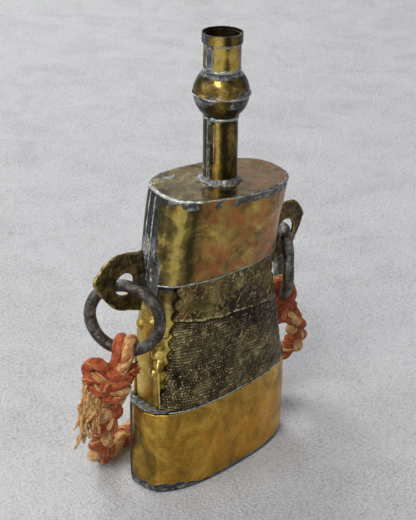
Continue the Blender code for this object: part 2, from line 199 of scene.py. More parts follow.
def bump(value, middle, width):
    """A soft ridge, 1 where value is middle."""
    return np.exp(-((value - middle) / width) ** 2)


def spot(angle, height, middle, level, half_angle, half_height):
    """A soft oval spot on the body, 1 in its middle."""
    return np.exp(-((angle - middle) / half_angle) ** 2 - ((height - level) / half_height) ** 2)


def spots(angle, height, *rows):
    """Soft spots added up, each (strength, middle, level, half_angle, half_height)."""
    return sum(strength * spot(angle, height, *row) for strength, *row in rows)


def past(angle, middle):
    """Degrees past middle, from -180 to 180."""
    return (angle - middle + 180.0) % 360.0 - 180.0


def wander(points, size, seed=0.0):
    """Smooth noise from -1 to 1 at each point, with features about size metres across."""
    flat = points.reshape(-1, 3) / size + seed
    values = [noise.noise(point) for point in flat.tolist()]
    return np.array(values).reshape(points.shape[:-1])


def rough(points, *layers):
    """Layers of smooth noise added up, each (depth, size, seed)."""
    return sum(depth * wander(points, size, seed) for depth, size, seed in layers)


def hammered(points, size, seed=0.0):
    """The shallow dishes that a hammer leaves, from 0 in a dish to about 1 on its edge."""
    flat = points.reshape(-1, 3) / size + seed
    values = [noise.voronoi(point)[0][0] for point in flat.tolist()]
    return np.minimum(np.array(values), 1.0).reshape(points.shape[:-1])


def lengths(line):
    """The distance along a line of points, at each point."""
    steps = np.linalg.norm(np.diff(line, axis=0), axis=1)
    return np.concatenate([[0.0], np.cumsum(steps)])


def row_lengths(points):
    """The distance along each row of a grid of points."""
    steps = np.diff(points, axis=1, prepend=points[:, :1])
    return np.cumsum(np.linalg.norm(steps, axis=2), axis=1)


# ---- the body's outline --------------------------------------------------------
def section(height):
    """The body's outside at each height."""
    return [np.interp(height, LEVELS, column) for column in zip(*BODY)]


def foot_shape(_):
    return FOOT


def rim(shape, degrees, height, inset=0.0):
    """Points on the body's superellipse, moved in along their own normals by inset."""
    half_length, half_depth, square, turn, centre_x, centre_y = shape
    angle = np.radians(degrees)
    across, along = np.cos(angle), np.sin(angle)
    power = 2.0 / square
    x = half_length * np.sign(across) * np.abs(across) ** power
    y = half_depth * np.sign(along) * np.abs(along) ** power
    normal_x = np.sign(x) * np.abs(x / half_length) ** (square - 1.0) / half_length
    normal_y = np.sign(y) * np.abs(y / half_depth) ** (square - 1.0) / half_depth
    size = np.hypot(normal_x, normal_y)
    x = x - normal_x / size * inset
    y = y - normal_y / size * inset
    twist = np.radians(turn)
    return np.stack(np.broadcast_arrays(
        x * np.cos(twist) - y * np.sin(twist) + centre_x,
        x * np.sin(twist) + y * np.cos(twist) + centre_y,
        height), axis=-1)


def even_angles(shape, start, end, count):
    """Angles from start to end that are the same distance apart round the shape."""
    distance = lengths(rim(shape, FINE_ANGLES, 0.0))
    first, last = np.interp((start, end), FINE_ANGLES, distance)
    return np.interp(np.linspace(first, last, count + 1), distance, FINE_ANGLES)


def around(shape_at, heights, angles, out=0.0):
    """A path on the body and the outward normals there."""
    heights = np.broadcast_to(np.asarray(heights, float), np.shape(angles))
    shape = shape_at(heights)
    path = rim(shape, angles, heights, -out)
    return path, rim(shape, angles, heights, -out - 0.001) - path


def seam_share(height):
    return np.clip((height - FOOT_HEIGHT) / (WAIST_TOP - FOOT_HEIGHT), 0.0, 1.0)


def seam(height):
    return SEAM_AT_FOOT + (SEAM_AT_WAIST - SEAM_AT_FOOT) * np.sin(0.5 * np.pi * seam_share(height))


def cramps(height):
    return TOOTH_DEPTH * np.abs(np.sin(np.pi * TEETH * seam_share(height)))


def from_toothed_edge(angle, height):
    """Degrees to the nearer toothed edge of the front panel."""
    edge = seam(height) - cramps(height)
    return np.minimum(np.abs(angle + 180.0 - edge), np.abs(angle + edge))


def upper_layer(height):
    return (SHEET + 2.0 * GAP) * seam_share(height)


def lower_layer(height):
    return upper_layer(height) + SHEET + 2.0 * GAP


# ---- materials -----------------------------------------------------------------
class Finish:
    """A Principled material that is built up by short calls."""

    def __init__(self, name, metallic, roughness=0.4):
        self.material = bpy.data.materials.new(name)
        self.material.use_nodes = True
        self.tree = self.material.node_tree
        self.main = self.tree.nodes["Principled BSDF"]
        self.main.inputs["Metallic"].default_value = metallic
        self.main.inputs["Roughness"].default_value = roughness
        self.height = None

    def put(self, kind, **settings):
        node = self.tree.nodes.new(kind)
        for name, value in settings.items():
            setattr(node, name, value)
        return node

    def feed(self, socket, value):
        if isinstance(value, bpy.types.NodeSocket):
            self.tree.links.new(value, socket)
        elif isinstance(value, tuple) and len(value) == 3 and socket.type == "RGBA":
            socket.default_value = (*value, 1.0)
        else:
            socket.default_value = value

    def place(self, stretch=(1.0, 1.0, 1.0), kind="Object", turn=0.0):
        source = self.put("ShaderNodeTexCoord").outputs[kind]
        mapping = self.put("ShaderNodeMapping")
        self.feed(mapping.inputs["Vector"], source)
        mapping.inputs["Scale"].default_value = stretch
        mapping.inputs["Rotation"].default_value = (0.0, 0.0, math.radians(turn))
        return mapping.outputs["Vector"]

    def noise(self, size, detail=4.0, rough=0.55, warp=0.0, **where):
        node = self.put("ShaderNodeTexNoise")
        self.feed(node.inputs["Vector"], self.place(**where))
        node.inputs["Scale"].default_value = 1.0 / size
        node.inputs["Detail"].default_value = detail
        node.inputs["Roughness"].default_value = rough
        node.inputs["Distortion"].default_value = warp
        return node.outputs["Fac"]

    def cells(self, size, feature="F1", **where):
        node = self.put("ShaderNodeTexVoronoi", feature=feature)
        self.feed(node.inputs["Vector"], self.place(**where))
        node.inputs["Scale"].default_value = 1.0 / size
        return node.outputs["Distance"]

    def mark(self, name):
        return self.put("ShaderNodeAttribute", attribute_name=name).outputs["Fac"]

    def maths(self, operation, first, second=0.5, clamp=False):
        node = self.put("ShaderNodeMath", operation=operation, use_clamp=clamp)
        self.feed(node.inputs[0], first)
        self.feed(node.inputs[1], second)
        return node.outputs[0]

    def step(self, value, low, high, first=0.0, last=1.0):
        """An eased step from first to last while value goes from low to high."""
        node = self.put("ShaderNodeMapRange", interpolation_type="SMOOTHSTEP")
        self.feed(node.inputs["Value"], value)
        for socket, number in zip(("From Min", "From Max", "To Min", "To Max"),
                                  (low, high, first, last)):
            node.inputs[socket].default_value = number
        return node.outputs["Result"]

    def mix(self, share, first, second):
        node = self.put("ShaderNodeMix", data_type="RGBA")
        self.feed(node.inputs[0], share)
        self.feed(node.inputs[6], first)
        self.feed(node.inputs[7], second)
        return node.outputs[2]

    def tones(self, value, stops):
        node = self.put("ShaderNodeValToRGB")
        self.feed(node.inputs[0], value)
        ramp = node.color_ramp
        while len(ramp.elements) < len(stops):
            ramp.elements.new(1.0)
        for element, (position, colour) in zip(ramp.elements, stops):
            element.position = position
            element.color = (*colour, 1.0)
        return node.outputs["Color"]

    def mottled(self, grain, stops, colours):
        """Clouds of colour.  grain is size, detail, roughness and warp."""
        return self.tones(self.noise(*grain), tuple(zip(stops, colours)))

    def gloss(self, size, detail, low, high):
        """Roughness that drifts between low and high."""
        return self.step(self.noise(size, detail, 0.6), 0.3, 0.7, low, high)

    def patch(self, name, noise, unevenness, low, high, fade=0.0):
        """A marked area whose edge is broken up by noise.  fade keeps it off unmarked parts."""
        mark = self.mark(name)
        uneven = self.maths("MULTIPLY", self.maths("SUBTRACT", noise, 0.5), unevenness)
        covered = self.step(self.maths("ADD", mark, uneven), low, high)
        if fade:
            covered = self.maths("MULTIPLY", covered, self.step(mark, 0.0, fade))
        return covered

    def relief(self, height, depth):
        """One more layer of bump, depth metres from its lowest to its highest."""
        node = self.put("ShaderNodeBump")
        node.inputs["Distance"].default_value = depth
        node.inputs["Strength"].default_value = 1.0
        self.feed(node.inputs["Height"], height)
        if self.height is not None:
            self.feed(node.inputs["Normal"], self.height)
        self.height = node.outputs["Normal"]

    def done(self, colour, roughness):
        self.feed(self.main.inputs["Base Color"], colour)
        self.feed(self.main.inputs["Roughness"], roughness)
        if self.height is not None:
            self.feed(self.main.inputs["Normal"], self.height)
        return self.material


def sheet_metal(name, low, middle, high, stain, roughness=0.26):
    """Old hammered sheet: mottled tones, stains where marked, smears of solder, and painted highlights and
    painted shade where the marks ask for them.
    """
    finish = Finish(name, 1.0)
    # random mottling, plus the mark that adds painted highlights and painted shade
    tone_and_painted_light = finish.maths("ADD", finish.noise(0.020, 6.0, 0.68, 0.7), finish.mark("tone_and_painted_light"))
    colour = finish.tones(tone_and_painted_light, ((0.34, low), (0.49, middle), (0.66, high)))
    speck = finish.noise(0.0042, 6.0, 0.7, 0.4)
    colour = finish.mix(finish.step(speck, 0.44, 0.70, 0.0, 0.45), colour, low)
    stained = finish.step(finish.noise(0.013, 6.0, 0.68, 0.8), 0.34, 0.66)
    colour = finish.mix(finish.maths("MULTIPLY", finish.mark("stain"), stained), colour, stain)
    pits = finish.step(finish.noise(0.0016, 3.0, 0.7), 0.60, 0.74, 0.0, 0.35)
    colour = finish.mix(pits, colour, TARNISH_AND_SHADE)
    score = finish.noise(0.0032, 4.0, 0.6, 0.5, stretch=(0.10, 0.10, 1.0), turn=12.0)
    colour = finish.mix(finish.step(score, 0.62, 0.72, 0.0, 0.5), colour, low)
    # where the dark mark is set: tarnish in some places, and painted shade or painted dark reflection in
    # others (under the shoulder band, inside the tubes, the knob's lower half, round the neck's foot); solder
    # there is darkened the same way
    shaded = finish.patch("dark", finish.noise(0.009, 6.0, 0.65), 1.2, 0.20, 0.95, 0.12)
    colour = finish.mix(finish.maths("MULTIPLY", shaded, 0.92), colour, TARNISH_AND_SHADE)
    smeared = finish.patch("smear", finish.noise(0.006, 6.0, 0.65, 0.8), 1.3, 0.40, 0.60, 0.15)
    tin = finish.mottled((0.0065, 6.0, 0.68, 0.9), STOPS, TIN)
    tin = finish.mix(finish.maths("MULTIPLY", finish.mark("dark"), 0.85, True), tin, DULL_AND_SHADED_TIN)
    colour = finish.mix(smeared, colour, tin)
    spread = finish.maths("MULTIPLY", finish.maths("ADD", smeared, shaded), 0.14)
    rough_at = finish.maths("ADD", finish.gloss(0.007, 5.0, roughness, roughness + 0.17), spread)
    scratches = finish.noise(0.0012, 3.0, 0.5, 0.3, stretch=(0.12, 0.12, 1.0), turn=20.0)
    finish.relief(finish.cells(0.011, "SMOOTH_F1"), 0.00030)
    finish.relief(finish.noise(0.006, 5.0, 0.6), 0.00034)
    finish.relief(scratches, 0.00010)
    finish.relief(finish.maths("MULTIPLY", finish.noise(0.0040, 5.0, 0.6), smeared), 0.0006)
    return finish.done(colour, rough_at)


def embossed_metal():
    """The nearly black chased front: brass shows only on the tops of its squares."""
    finish = Finish("dark_embossed_brass", 1.0)
    ground = finish.mottled((0.020, 6.0, 0.70, 0.8), (0.32, 0.48, 0.66),
                            ((0.026, 0.020, 0.014), (0.115, 0.092, 0.048), (0.330, 0.260, 0.115)))
    groove = finish.step(finish.mark("high"), 0.05, 0.50, 0.90, 0.0)
    ground = finish.mix(groove, ground, (0.006, 0.005, 0.006))
    plain = finish.mottled((0.014, 6.0, 0.72, 0.9), (0.34, 0.48, 0.68),
                           ((0.030, 0.020, 0.012), (0.120, 0.088, 0.030), (0.400, 0.310, 0.120)))
    reddish = finish.step(finish.noise(0.012, 5.0, 0.68, 0.8), 0.52, 0.66, 0.0, 0.6)
    plain = finish.mix(reddish, plain, (0.170, 0.070, 0.026))
    line = finish.step(finish.mark("high"), 0.10, 0.42, 0.85, 0.0)
    plain = finish.mix(line, plain, (0.010, 0.008, 0.007))
    colour = finish.mix(finish.mark("plain"), ground, plain)
    purple = finish.patch("stain", finish.noise(0.011, 6.0, 0.72, 0.8), 1.8, 0.35, 0.95)
    colour = finish.mix(finish.maths("MULTIPLY", purple, 0.86), colour, (0.022, 0.012, 0.013))
    # bright brass where the high mark is set: bare brass from wear, and the painted highlights that the
    # chased look adds to that mark
    worn_and_painted_light = finish.maths("MULTIPLY", finish.step(finish.mark("high"), 0.50, 0.80),
                        finish.step(finish.noise(0.0030, 5.0, 0.8), 0.47, 0.56))
    colour = finish.mix(finish.maths("MULTIPLY", worn_and_painted_light, 0.85), colour, (0.66, 0.53, 0.26))
    finish.relief(finish.noise(0.0026, 5.0, 0.7, 0.6), 0.0009)
    finish.relief(finish.noise(0.0011, 3.0, 0.5, 0.4, stretch=(1.0, 1.0, 0.4)), 0.00025)
    return finish.done(colour, finish.gloss(0.005, 5.0, 0.28, 0.46))


def solder_metal(name, colours, roughness, grain=0.0048):
    """Lead and tin solder, warmed in places by the brass under it."""
    finish = Finish(name, 1.0)
    colour = finish.mottled((grain, 6.0, 0.70, 0.6), STOPS, colours)
    warm = finish.step(finish.noise(0.010, 4.0, 0.6), 0.50, 0.70, 0.0, 0.45)
    colour = finish.mix(warm, colour, (0.26, 0.21, 0.11))
    finish.relief(finish.noise(0.6 * grain, 5.0, 0.65, 0.5), 0.0009)
    finish.relief(finish.noise(0.0009, 4.0, 0.65), 0.0002)
    return finish.done(colour, finish.gloss(0.004, 4.0, roughness, roughness + 0.18))


def iron_metal():
    """Dark forged iron, pitted and a little rusty."""
    finish = Finish("forged_iron", 1.0)
    colour = finish.mottled((0.0060, 6.0, 0.70, 0.5), STOPS,
                            ((0.028, 0.026, 0.024), (0.105, 0.096, 0.084), (0.290, 0.260, 0.220)))
    rust = finish.step(finish.noise(0.0110, 5.0, 0.65), 0.54, 0.72, 0.0, 0.6)
    colour = finish.mix(rust, colour, (0.160, 0.085, 0.055))
    pits = finish.step(finish.noise(0.0013, 4.0, 0.75), 0.54, 0.62, 0.0, 0.85)
    colour = finish.mix(pits, colour, (0.012, 0.011, 0.011))
    finish.relief(finish.cells(0.0034, "SMOOTH_F1"), 0.00035)
    finish.relief(finish.noise(0.0016, 5.0, 0.68), 0.00065)
    return finish.done(colour, finish.gloss(0.0030, 4.0, 0.30, 0.50))


def olive_metal():
    """The ears' dark, greenish brass, bright along its edges from wear, with a painted highlight on those
    edges as well.
    """
    finish = Finish("olive_brass_ear", 1.0)
    colour = finish.mottled((0.009, 6.0, 0.68, 0.7), STOPS,
                            ((0.012, 0.010, 0.007), (0.070, 0.050, 0.018), (0.230, 0.165, 0.050)))
    pointed = finish.put("ShaderNodeNewGeometry").outputs["Pointiness"]
    # convex edges lightened: wear, and a painted highlight along the edges
    rubbed_and_painted_highlight = finish.maths("MULTIPLY", finish.step(pointed, 0.503, 0.530),
                          finish.step(finish.noise(0.004, 5.0, 0.65), 0.38, 0.58))
    colour = finish.mix(finish.maths("MULTIPLY", rubbed_and_painted_highlight, 0.8), colour, (0.40, 0.31, 0.13))
    scrape = finish.noise(0.0016, 4.0, 0.6, 0.8, stretch=(1.0, 1.0, 0.3))
    colour = finish.mix(finish.step(scrape, 0.62, 0.70, 0.0, 0.6), colour, (0.36, 0.29, 0.14))
    smeared = finish.patch("smear", finish.noise(0.006, 6.0, 0.65), 1.2, 0.40, 0.60, 0.15)
    tin = finish.mottled((0.004, 5.0, 0.7, 0.5), (0.36, 0.62),
                         ((0.020, 0.020, 0.021), (0.210, 0.212, 0.215)))
    colour = finish.mix(smeared, colour, tin)
    finish.relief(finish.noise(0.0045, 6.0, 0.65, 0.5), 0.0008)
    finish.relief(finish.noise(0.0011, 4.0, 0.6), 0.0002)
    return finish.done(colour, finish.gloss(0.005, 5.0, 0.20, 0.40))


def cord_fibre():
    """Dyed cotton: rust yarns with undyed tan ones among them."""
    finish = Finish("rust_and_tan_cotton", 0.0)
    finish.main.inputs["Sheen Weight"].default_value = 0.08
    finish.main.inputs["Specular IOR Level"].default_value = 0.12
    stops = (0.32, 0.50, 0.68)
    rust = finish.mottled((0.0050, 5.0, 0.7), stops,
                          ((0.220, 0.034, 0.009), (0.450, 0.088, 0.030), (0.660, 0.200, 0.066)))
    tan = finish.mottled((0.0040, 5.0, 0.7), stops,
                         ((0.480, 0.200, 0.050), (0.780, 0.450, 0.170), (0.900, 0.640, 0.310)))
    streak = finish.noise(0.0016, 4.0, 0.65, 0.5, stretch=(0.10, 1.0, 1.0), kind="UV")
    colour = finish.mix(finish.patch("tan", streak, 1.5, 0.36, 0.64), rust, tan)
    fibre = finish.noise(0.00060, 3.0, 0.6, 0.8, stretch=(0.14, 1.0, 1.0), kind="UV")
    colour = finish.mix(finish.step(fibre, 0.30, 0.56, 0.60, 0.0), colour, (0.110, 0.020, 0.006))
    yarn = finish.noise(0.0013, 4.0, 0.7, 0.9, stretch=(0.10, 1.0, 1.0), kind="UV")
    finish.relief(yarn, 0.0020)
    finish.relief(fibre, 0.0007)
    return finish.done(colour, finish.step(fibre, 0.2, 0.8, 0.88, 1.0))


# ---- pieces --------------------------------------------------------------------
def grid_faces(rows, columns, loop_rows=False, loop_columns=False, first=0):
    """The quads of a grid of points, numbered from first."""
    index = first + np.arange(rows * columns).reshape(rows, columns)
    above = np.roll(index, -1, axis=0)
    beside = np.roll(index, -1, axis=1)
    both = np.roll(above, -1, axis=1)
    quads = np.stack([index, beside, both, above], axis=-1)
    quads = quads[:rows if loop_rows else rows - 1, :columns if loop_columns else columns - 1]
    return quads.reshape(-1, 4).tolist()


def tube_faces(rows, columns, first=0):
    """The faces of a tube of points, closed at both ends."""
    faces = grid_faces(rows, columns, loop_columns=True, first=first)
    last = first + (rows - 1) * columns
    faces.append(list(range(first, first + columns))[::-1])
    faces.append(list(range(last, last + columns)))
    return [face[::-1] for face in faces]


def set_marks(mesh, marks, shape):
    """Per-point numbers that the materials read."""
    for mark, values in marks.items():
        layer = mesh.attributes.new(mark, "FLOAT", "POINT")
        numbers = np.broadcast_to(values, shape).astype(np.float32)
        layer.data.foreach_set("value", numbers.ravel())


def make_item(name, points, faces, material, flat=None, marks=None, smooth_angle=45.0):
    """An object with per-point marks and a flat map in metres."""
    mesh = bpy.data.meshes.new(name)
    mesh.from_pydata(points.reshape(-1, 3).tolist(), [], faces)
    mesh.update()
    set_marks(mesh, marks or {}, points.shape[:-1])
    if flat is not None:
        corners = np.zeros(len(mesh.loops), dtype=np.int32)
        mesh.loops.foreach_get("vertex_index", corners)
        layer = mesh.uv_layers.new(name="flat")
        layer.data.foreach_set("uv", flat.reshape(-1, 2)[corners].astype(np.float32).ravel())
    mesh.shade_smooth()
    mesh.set_sharp_from_angle(angle=math.radians(smooth_angle))
    mesh.materials.append(material)
    return bpy.data.objects.new(name, mesh)


def finish_piece(item, body, nodes=()):
    """Link a piece, and say which body it rides on and which CAD nodes it replaces."""
    bpy.context.scene.collection.objects.link(item)
    if body:
        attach(item, body)
    if nodes:
        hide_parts(*nodes)
    return item


def name_of_node(name):
    """A piece that stands for one CAD node has that node's name before its last word."""
    return name.rsplit(".", 1)[0]


def sheet(name, points, material, marks=None, loop_columns=False):
    """A sheet through rows of points, thickened inwards."""
    rows, columns = points.shape[:2]
    flat = np.stack([row_lengths(points), points[..., 2]], axis=-1)
    faces = grid_faces(rows, columns, loop_columns=loop_columns)
    item = make_item(name, points, faces, material, flat, marks)
    shell = item.modifiers.new("sheet", "SOLIDIFY")
    shell.thickness = SHEET
    shell.offset = -1.0
    finish_piece(item, "bottle", (name_of_node(name),))


def body_sheet(name, material, shape_at, heights, start, end, step, look, inset=None):
    """A sheet bent round the body.  look gives its relief and its marks."""
    starts, ends = np.broadcast_to(start, heights.shape), np.broadcast_to(end, heights.shape)
    reference = shape_at(heights[len(heights) // 2])
    turn = np.max(np.abs(ends - starts)) / 360.0
    count = max(12, int(turn * AROUND_BODY / step))
    angle = np.array([even_angles(reference, *pair, count) for pair in zip(starts, ends)])
    level = np.repeat(heights[:, None], count + 1, axis=1)
    shape = shape_at(level)
    depth = inset(level) if inset else 0.0
    raised, marks = look(angle, level, rim(shape, angle, level, depth))
    sheet(name, rim(shape, angle, level, depth - raised), material, marks)


def dents(points, seed, deep=0.00035):
    """Dents and hammer marks of an old sheet."""
    dished = 0.30 * deep * (hammered(points, 0.011, seed) - 0.5)
    return rough(points, (deep, 0.024, seed), (0.35 * deep, 0.009, seed + 7.0)) + dished


def revolve(name, profile, material, relief, steps, marks=None):
    """A closed profile of (radius, height), turned round the neck's axis."""
    profile = np.array(profile)
    turn = np.linspace(-np.pi, np.pi, steps, endpoint=False)
    radius = np.repeat(profile[:, :1], steps, axis=1)
    level = np.repeat(profile[:, 1:], steps, axis=1)
    angle = np.repeat(turn[None, :], len(profile), axis=0)
    degrees = np.degrees(angle)

    def place(spread):
        x, y = NECK_X + spread * np.cos(angle), NECK_Y + spread * np.sin(angle)
        return np.stack([x, y, level], axis=-1)

    plain = place(radius)
    radius = radius + relief(degrees, level, plain)
    values = marks(degrees, level, plain) if marks else {}
    flat = np.stack([angle * radius, level], axis=-1)
    faces = grid_faces(len(profile), steps, True, True)
    item = make_item(name, place(radius), faces, material, flat, values)
    finish_piece(item, "bottle", (name_of_node(name),))


def solder_run(name, path, normals, width, height, material, seed, nodes=(), sink=0.0004, lumps=1.0):
    """A ragged run of solder along a path on a surface."""
    tangent = np.gradient(path, axis=0)
    tangent /= np.linalg.norm(tangent, axis=1)[:, None]
    normals = normals / np.linalg.norm(normals, axis=1)[:, None]
    side = np.cross(tangent, normals)
    wide = width > 0.004
    count = 25 if wide else 9
    from_end = np.minimum(np.arange(len(path)), np.arange(len(path))[::-1])
    ends = smooth(from_end, -0.5, 4.0)
    if wide:
        ends = np.sqrt(smooth(from_end, -1.0, 0.40 * len(path)))
    ragged = 1.0 + rough(path, (0.45 * lumps, 0.006, seed), (0.35 * lumps, 0.0022, seed + 3.0))
    half = 0.5 * width * ragged * ends
    shift = rough(path, (0.25 * width * lumps, 0.008, seed + 9.0))
    # the crown's points, and two more that close the run under the surface
    crown = np.linspace(-1.0, 1.0, count)
    across = np.concatenate([crown, (0.6, -0.6)])
    on_top = np.concatenate([np.ones(count), (0.0, 0.0)])
    tall = height * (0.75 + 0.6 * lumps * np.abs(wander(path, 0.004, seed + 5.0))) * ends
    dome = np.sqrt(np.clip(1.0 - crown ** 4, 0.0, 1.0))
    rise = np.full((len(path), count + 2), -sink)
    rise[:, :count] = dome[None, :] * (tall[:, None] + 0.3 * sink) - 0.6 * sink
    out_to_side = path[:, None, :] + side[:, None, :] * (np.sign(across) * 0.02)[None, :, None]
    edge = rough(out_to_side, (0.30 * lumps, 0.0035, seed + 7.0), (0.22, 0.011, seed + 8.0))
    reach = across[None, :] * half[:, None] * (1.0 + edge) + shift[:, None]
    points = (path[:, None, :] + side[:, None, :] * reach[..., None]
              + normals[:, None, :] * rise[..., None])
    bumps = rough(points, (0.30, 0.0060, seed + 1.0), (0.16 * lumps, 0.0018, seed + 2.0)) * height
    points = points + normals[:, None, :] * (bumps * on_top[None, :])[..., None]
    item = make_item(name, points, tube_faces(len(path), count + 2), material)
    finish_piece(item, "bottle", nodes)


# ---- the cord ------------------------------------------------------------------
def smooth_path(route, step):
    """Points every step along a Catmull-Rom curve through the route."""
    route = np.array(route, float)
    padded = np.vstack([2 * route[0] - route[1], route, 2 * route[-1] - route[-2]])
    fine = []
    for before, here, there, after in zip(padded, padded[1:], padded[2:], padded[3:]):
        share = np.linspace(0.0, 1.0, 24, endpoint=False)[:, None]
        fine.append(0.5 * (2 * here + (there - before) * share
                           + (2 * before - 5 * here + 4 * there - after) * share ** 2
                           + (3 * here - before - 3 * there + after) * share ** 3))
    fine = np.vstack(fine + [route[-1:]])
    along = lengths(fine)
    even = np.linspace(0.0, along[-1], max(3, int(along[-1] / step)) + 1)
    return np.stack([np.interp(even, along, fine[:, axis]) for axis in range(3)], axis=1), even


def side_vectors(path, first=(0.0, 0.0, 1.0)):
    """Two unit vectors across a path at each point, carried along without twist."""
    tangent = np.gradient(path, axis=0)
    tangent /= np.linalg.norm(tangent, axis=1)[:, None]
    start = np.array(first, float)
    if abs(start @ tangent[0]) > 0.9:
        start = np.array((1.0, 0.0, 0.0))
    sides = []
    for direction in tangent:
        start = start - direction * (start @ direction)
        start = start / np.linalg.norm(start)
        sides.append(start)
    sides = np.array(sides)
    return sides, np.cross(tangent, sides)


def strand_grid(path, along, radius, yarns, lay, sides):
    """The skin of one lightly twisted strand of yarns: points, flat map and yarn numbers."""
    first, second = side_vectors(path)
    turn = np.linspace(0.0, 2.0 * np.pi, sides, endpoint=False)
    twisted = turn[None, :] - 2.0 * np.pi * along[:, None] / lay
    unrolled = (along[:, None] * 0.16, radius * np.cos(twisted), radius * np.sin(twisted))
    unrolled = np.stack(np.broadcast_arrays(*unrolled), axis=-1) + path[0]
    lobes = 0.94 + 0.10 * np.abs(np.cos(0.5 * yarns * twisted)) ** 0.6
    lobes = lobes + rough(unrolled, (0.14 * min(1.0, radius / 0.004), 0.0034, 3.0), (0.07, 0.0012, 5.0))
    ends = np.minimum(along, along[-1] - along)
    taper = np.sqrt(np.clip(ends / (0.7 * radius), 0.02, 1.0))
    swell = radius * lobes * taper[:, None]
    outwards = (first[:, None, :] * np.cos(turn)[None, :, None]
                + second[:, None, :] * np.sin(turn)[None, :, None])
    yarn = np.floor(yarns * twisted / (2.0 * np.pi) + 0.5) % yarns
    flat = np.stack(np.broadcast_arrays(along[:, None], twisted * radius), axis=-1)
    return path[:, None, :] + outwards * swell[..., None], flat, yarn


def strand_piece(name, strands, material):
    """One object of several strands.  Each is (path, along, radius, paleness)."""
    points, flats, shades, faces = [], [], [], []
    count = 0
    for number, (path, along, radius, pale) in enumerate(strands):
        yarns, lay, sides = (8, 0.034, 36) if radius > 0.002 else (3, 0.012, 7)
        skin, flat, yarn = strand_grid(path, along, radius, yarns, lay, sides)
        faces += tube_faces(len(path), sides, count)
        points.append(skin.reshape(-1, 3))
        flats.append(flat.reshape(-1, 2) + (0.013 * number, 0.0))
        shades.append((pale + 0.45 * (((yarn * 5 + number * 3) % 8) / 7.0 - 0.5)).ravel())
        count += len(path) * sides
    return make_item(name, np.vstack(points), faces, material, np.vstack(flats),
                     {"tan": np.concatenate(shades)}, 80.0)


def plait(route, pitch=0.047, radius=0.0043, wide=0.0041, deep=0.0025):
    """Three strands plaited along a route, as (path, along, radius, paleness)."""
    centre, along = smooth_path(route, STRAND_STEP)
    first, second = side_vectors(centre, np.cross(UP, PHOTO_SIDE))
    ends = smooth(np.minimum(along, along[-1] - along), -0.004, 0.010)
    strands = []
    for number, pale in enumerate((0.26, 0.92, 0.44)):
        phase = 2.0 * np.pi * (along / pitch + number / 3.0)
        path = (centre + first * (wide * ends * np.sin(phase))[:, None]
                + second * (deep * ends * np.sin(2.0 * phase))[:, None])
        strands.append((path, lengths(path), radius, pale))
    return strands, float(along[-1])


def strand(route, radius, pale):
    path, along = smooth_path(route, STRAND_STEP)
    return path, along, radius, pale


def build_cords(rope):
    """The two plaited halves of the carrying cord, which meet behind the foot."""
    for side, route in CORDS.items():
        strands, length = plait(route)
        cord = strand_piece("plaited_cord_" + side, strands, rope)
        finish_piece(cord, None, ("cord_" + side,))
        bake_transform(cord)
        knot = build_knot(side, rope)
        path = [tuple(point) for point in smooth_path(route, 0.004)[0].tolist()]


def ring_place(side):
    """A ring's pivot, the direction of its wire there and the direction across both."""
    pivot, wire = np.array(RING_PIVOT[side]), np.array(RING_WIRE[side])
    return pivot, wire, np.array((-wire[1], wire[0], 0.0))


def build_knot(side, rope):
    """The hitch over a ring, its knot and its frayed ends."""
    pivot, wire, out = ring_place(side)
    if out @ PHOTO_SIDE < 0.0:
        out = -out
    low = pivot - UP * 2.0 * RING_RADIUS
    lowest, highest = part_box("knot_" + side)
    centre = 0.5 * (np.array(lowest) + np.array(highest))
    thick, size = (0.0041, 0.0066) if side == "left" else (0.0037, 0.0054)
    # two strands from the knot over the ring and back
    over = WIRE_RADIUS + 0.72 * thick
    facing = 1.0 if out @ PHOTO_LEFT > 0.0 else -1.0
    hitch = []
    for shift, pale in ((-0.0032, 0.16), (0.0032, 0.62)):
        base = low + wire * shift * facing
        foot = centre + wire * shift * 0.6 + UP * 0.003
        between = base * 0.5 + foot * 0.5
        ahead, shoulder = out * over, out * 0.70 * over
        raised = UP * 0.66 * over
        hitch.append(strand([foot + out * 0.003, between + out * 0.0060, base + ahead - UP * 0.002,
                             base + shoulder + raised, base + UP * over * 0.95,
                             base - shoulder + raised, base - ahead - UP * 0.002,
                             between - out * 0.0060, foot - out * 0.003], thick, pale))
    # turns round the knot, each (level, width, tilt, paleness, thickness)
    wraps = []
    for number, (level, swell, tilt, pale, share_of_thick) in enumerate((
            (0.0062, 0.90, 0.38, 0.10, 0.98), (0.0004, 1.06, -0.26, 0.16, 1.05),
            (-0.0052, 1.00, 0.20, 0.80, 0.85), (-0.0098, 0.76, -0.30, 0.30, 0.9))):
        loop = []
        for step in range(21):
            share = step / 20.0
            turn = 2.0 * math.pi * 1.30 * share + 1.3 * number
            tuck = 0.45 + 0.55 * min(1.0, 6.0 * min(share, 1.0 - share))
            reach = size * swell * tuck
            loop.append(centre + PHOTO_LEFT * (reach * math.cos(turn)) + out * (reach * math.sin(turn))
                        + UP * (level + tilt * size * math.cos(turn - 0.6)))
        wraps.append(strand(loop, thick * share_of_thick, pale))
    # a core and three strands that leave the knot for the plait
    cord_start = np.array(CORDS[side][0])
    core = [centre + UP * level for level in (0.012, 0.005, -0.004)]
    wraps.append(strand(core + [cord_start], 0.0060, 0.25))
    leaving = cord_start - centre
    along = leaving / np.linalg.norm(leaving)
    beside = np.cross(along, out) / np.linalg.norm(np.cross(along, out))
    for turn, pale in ((0.6, 0.30), (2.7, 0.85), (4.8, 0.50)):
        spread = beside * math.cos(turn) + np.cross(along, beside) * math.sin(turn)
        wraps.append(strand([centre + spread * 0.002, centre + 0.6 * leaving + spread * 0.0046,
                             cord_start + spread * 0.0036,
                             cord_start + along * 0.008 + spread * 0.001], 0.0036, pale))
    pieces = [strand_piece("hitch_" + side, hitch, rope), strand_piece("knot_wraps_" + side, wraps, rope)]
    if side == "left":
        pieces += frayed_ends(centre, out, rope)
    for number, piece in enumerate(pieces):
        finish_piece(piece, "ring_" + side, ("knot_" + side,) if number == 1 else ())
    return pieces


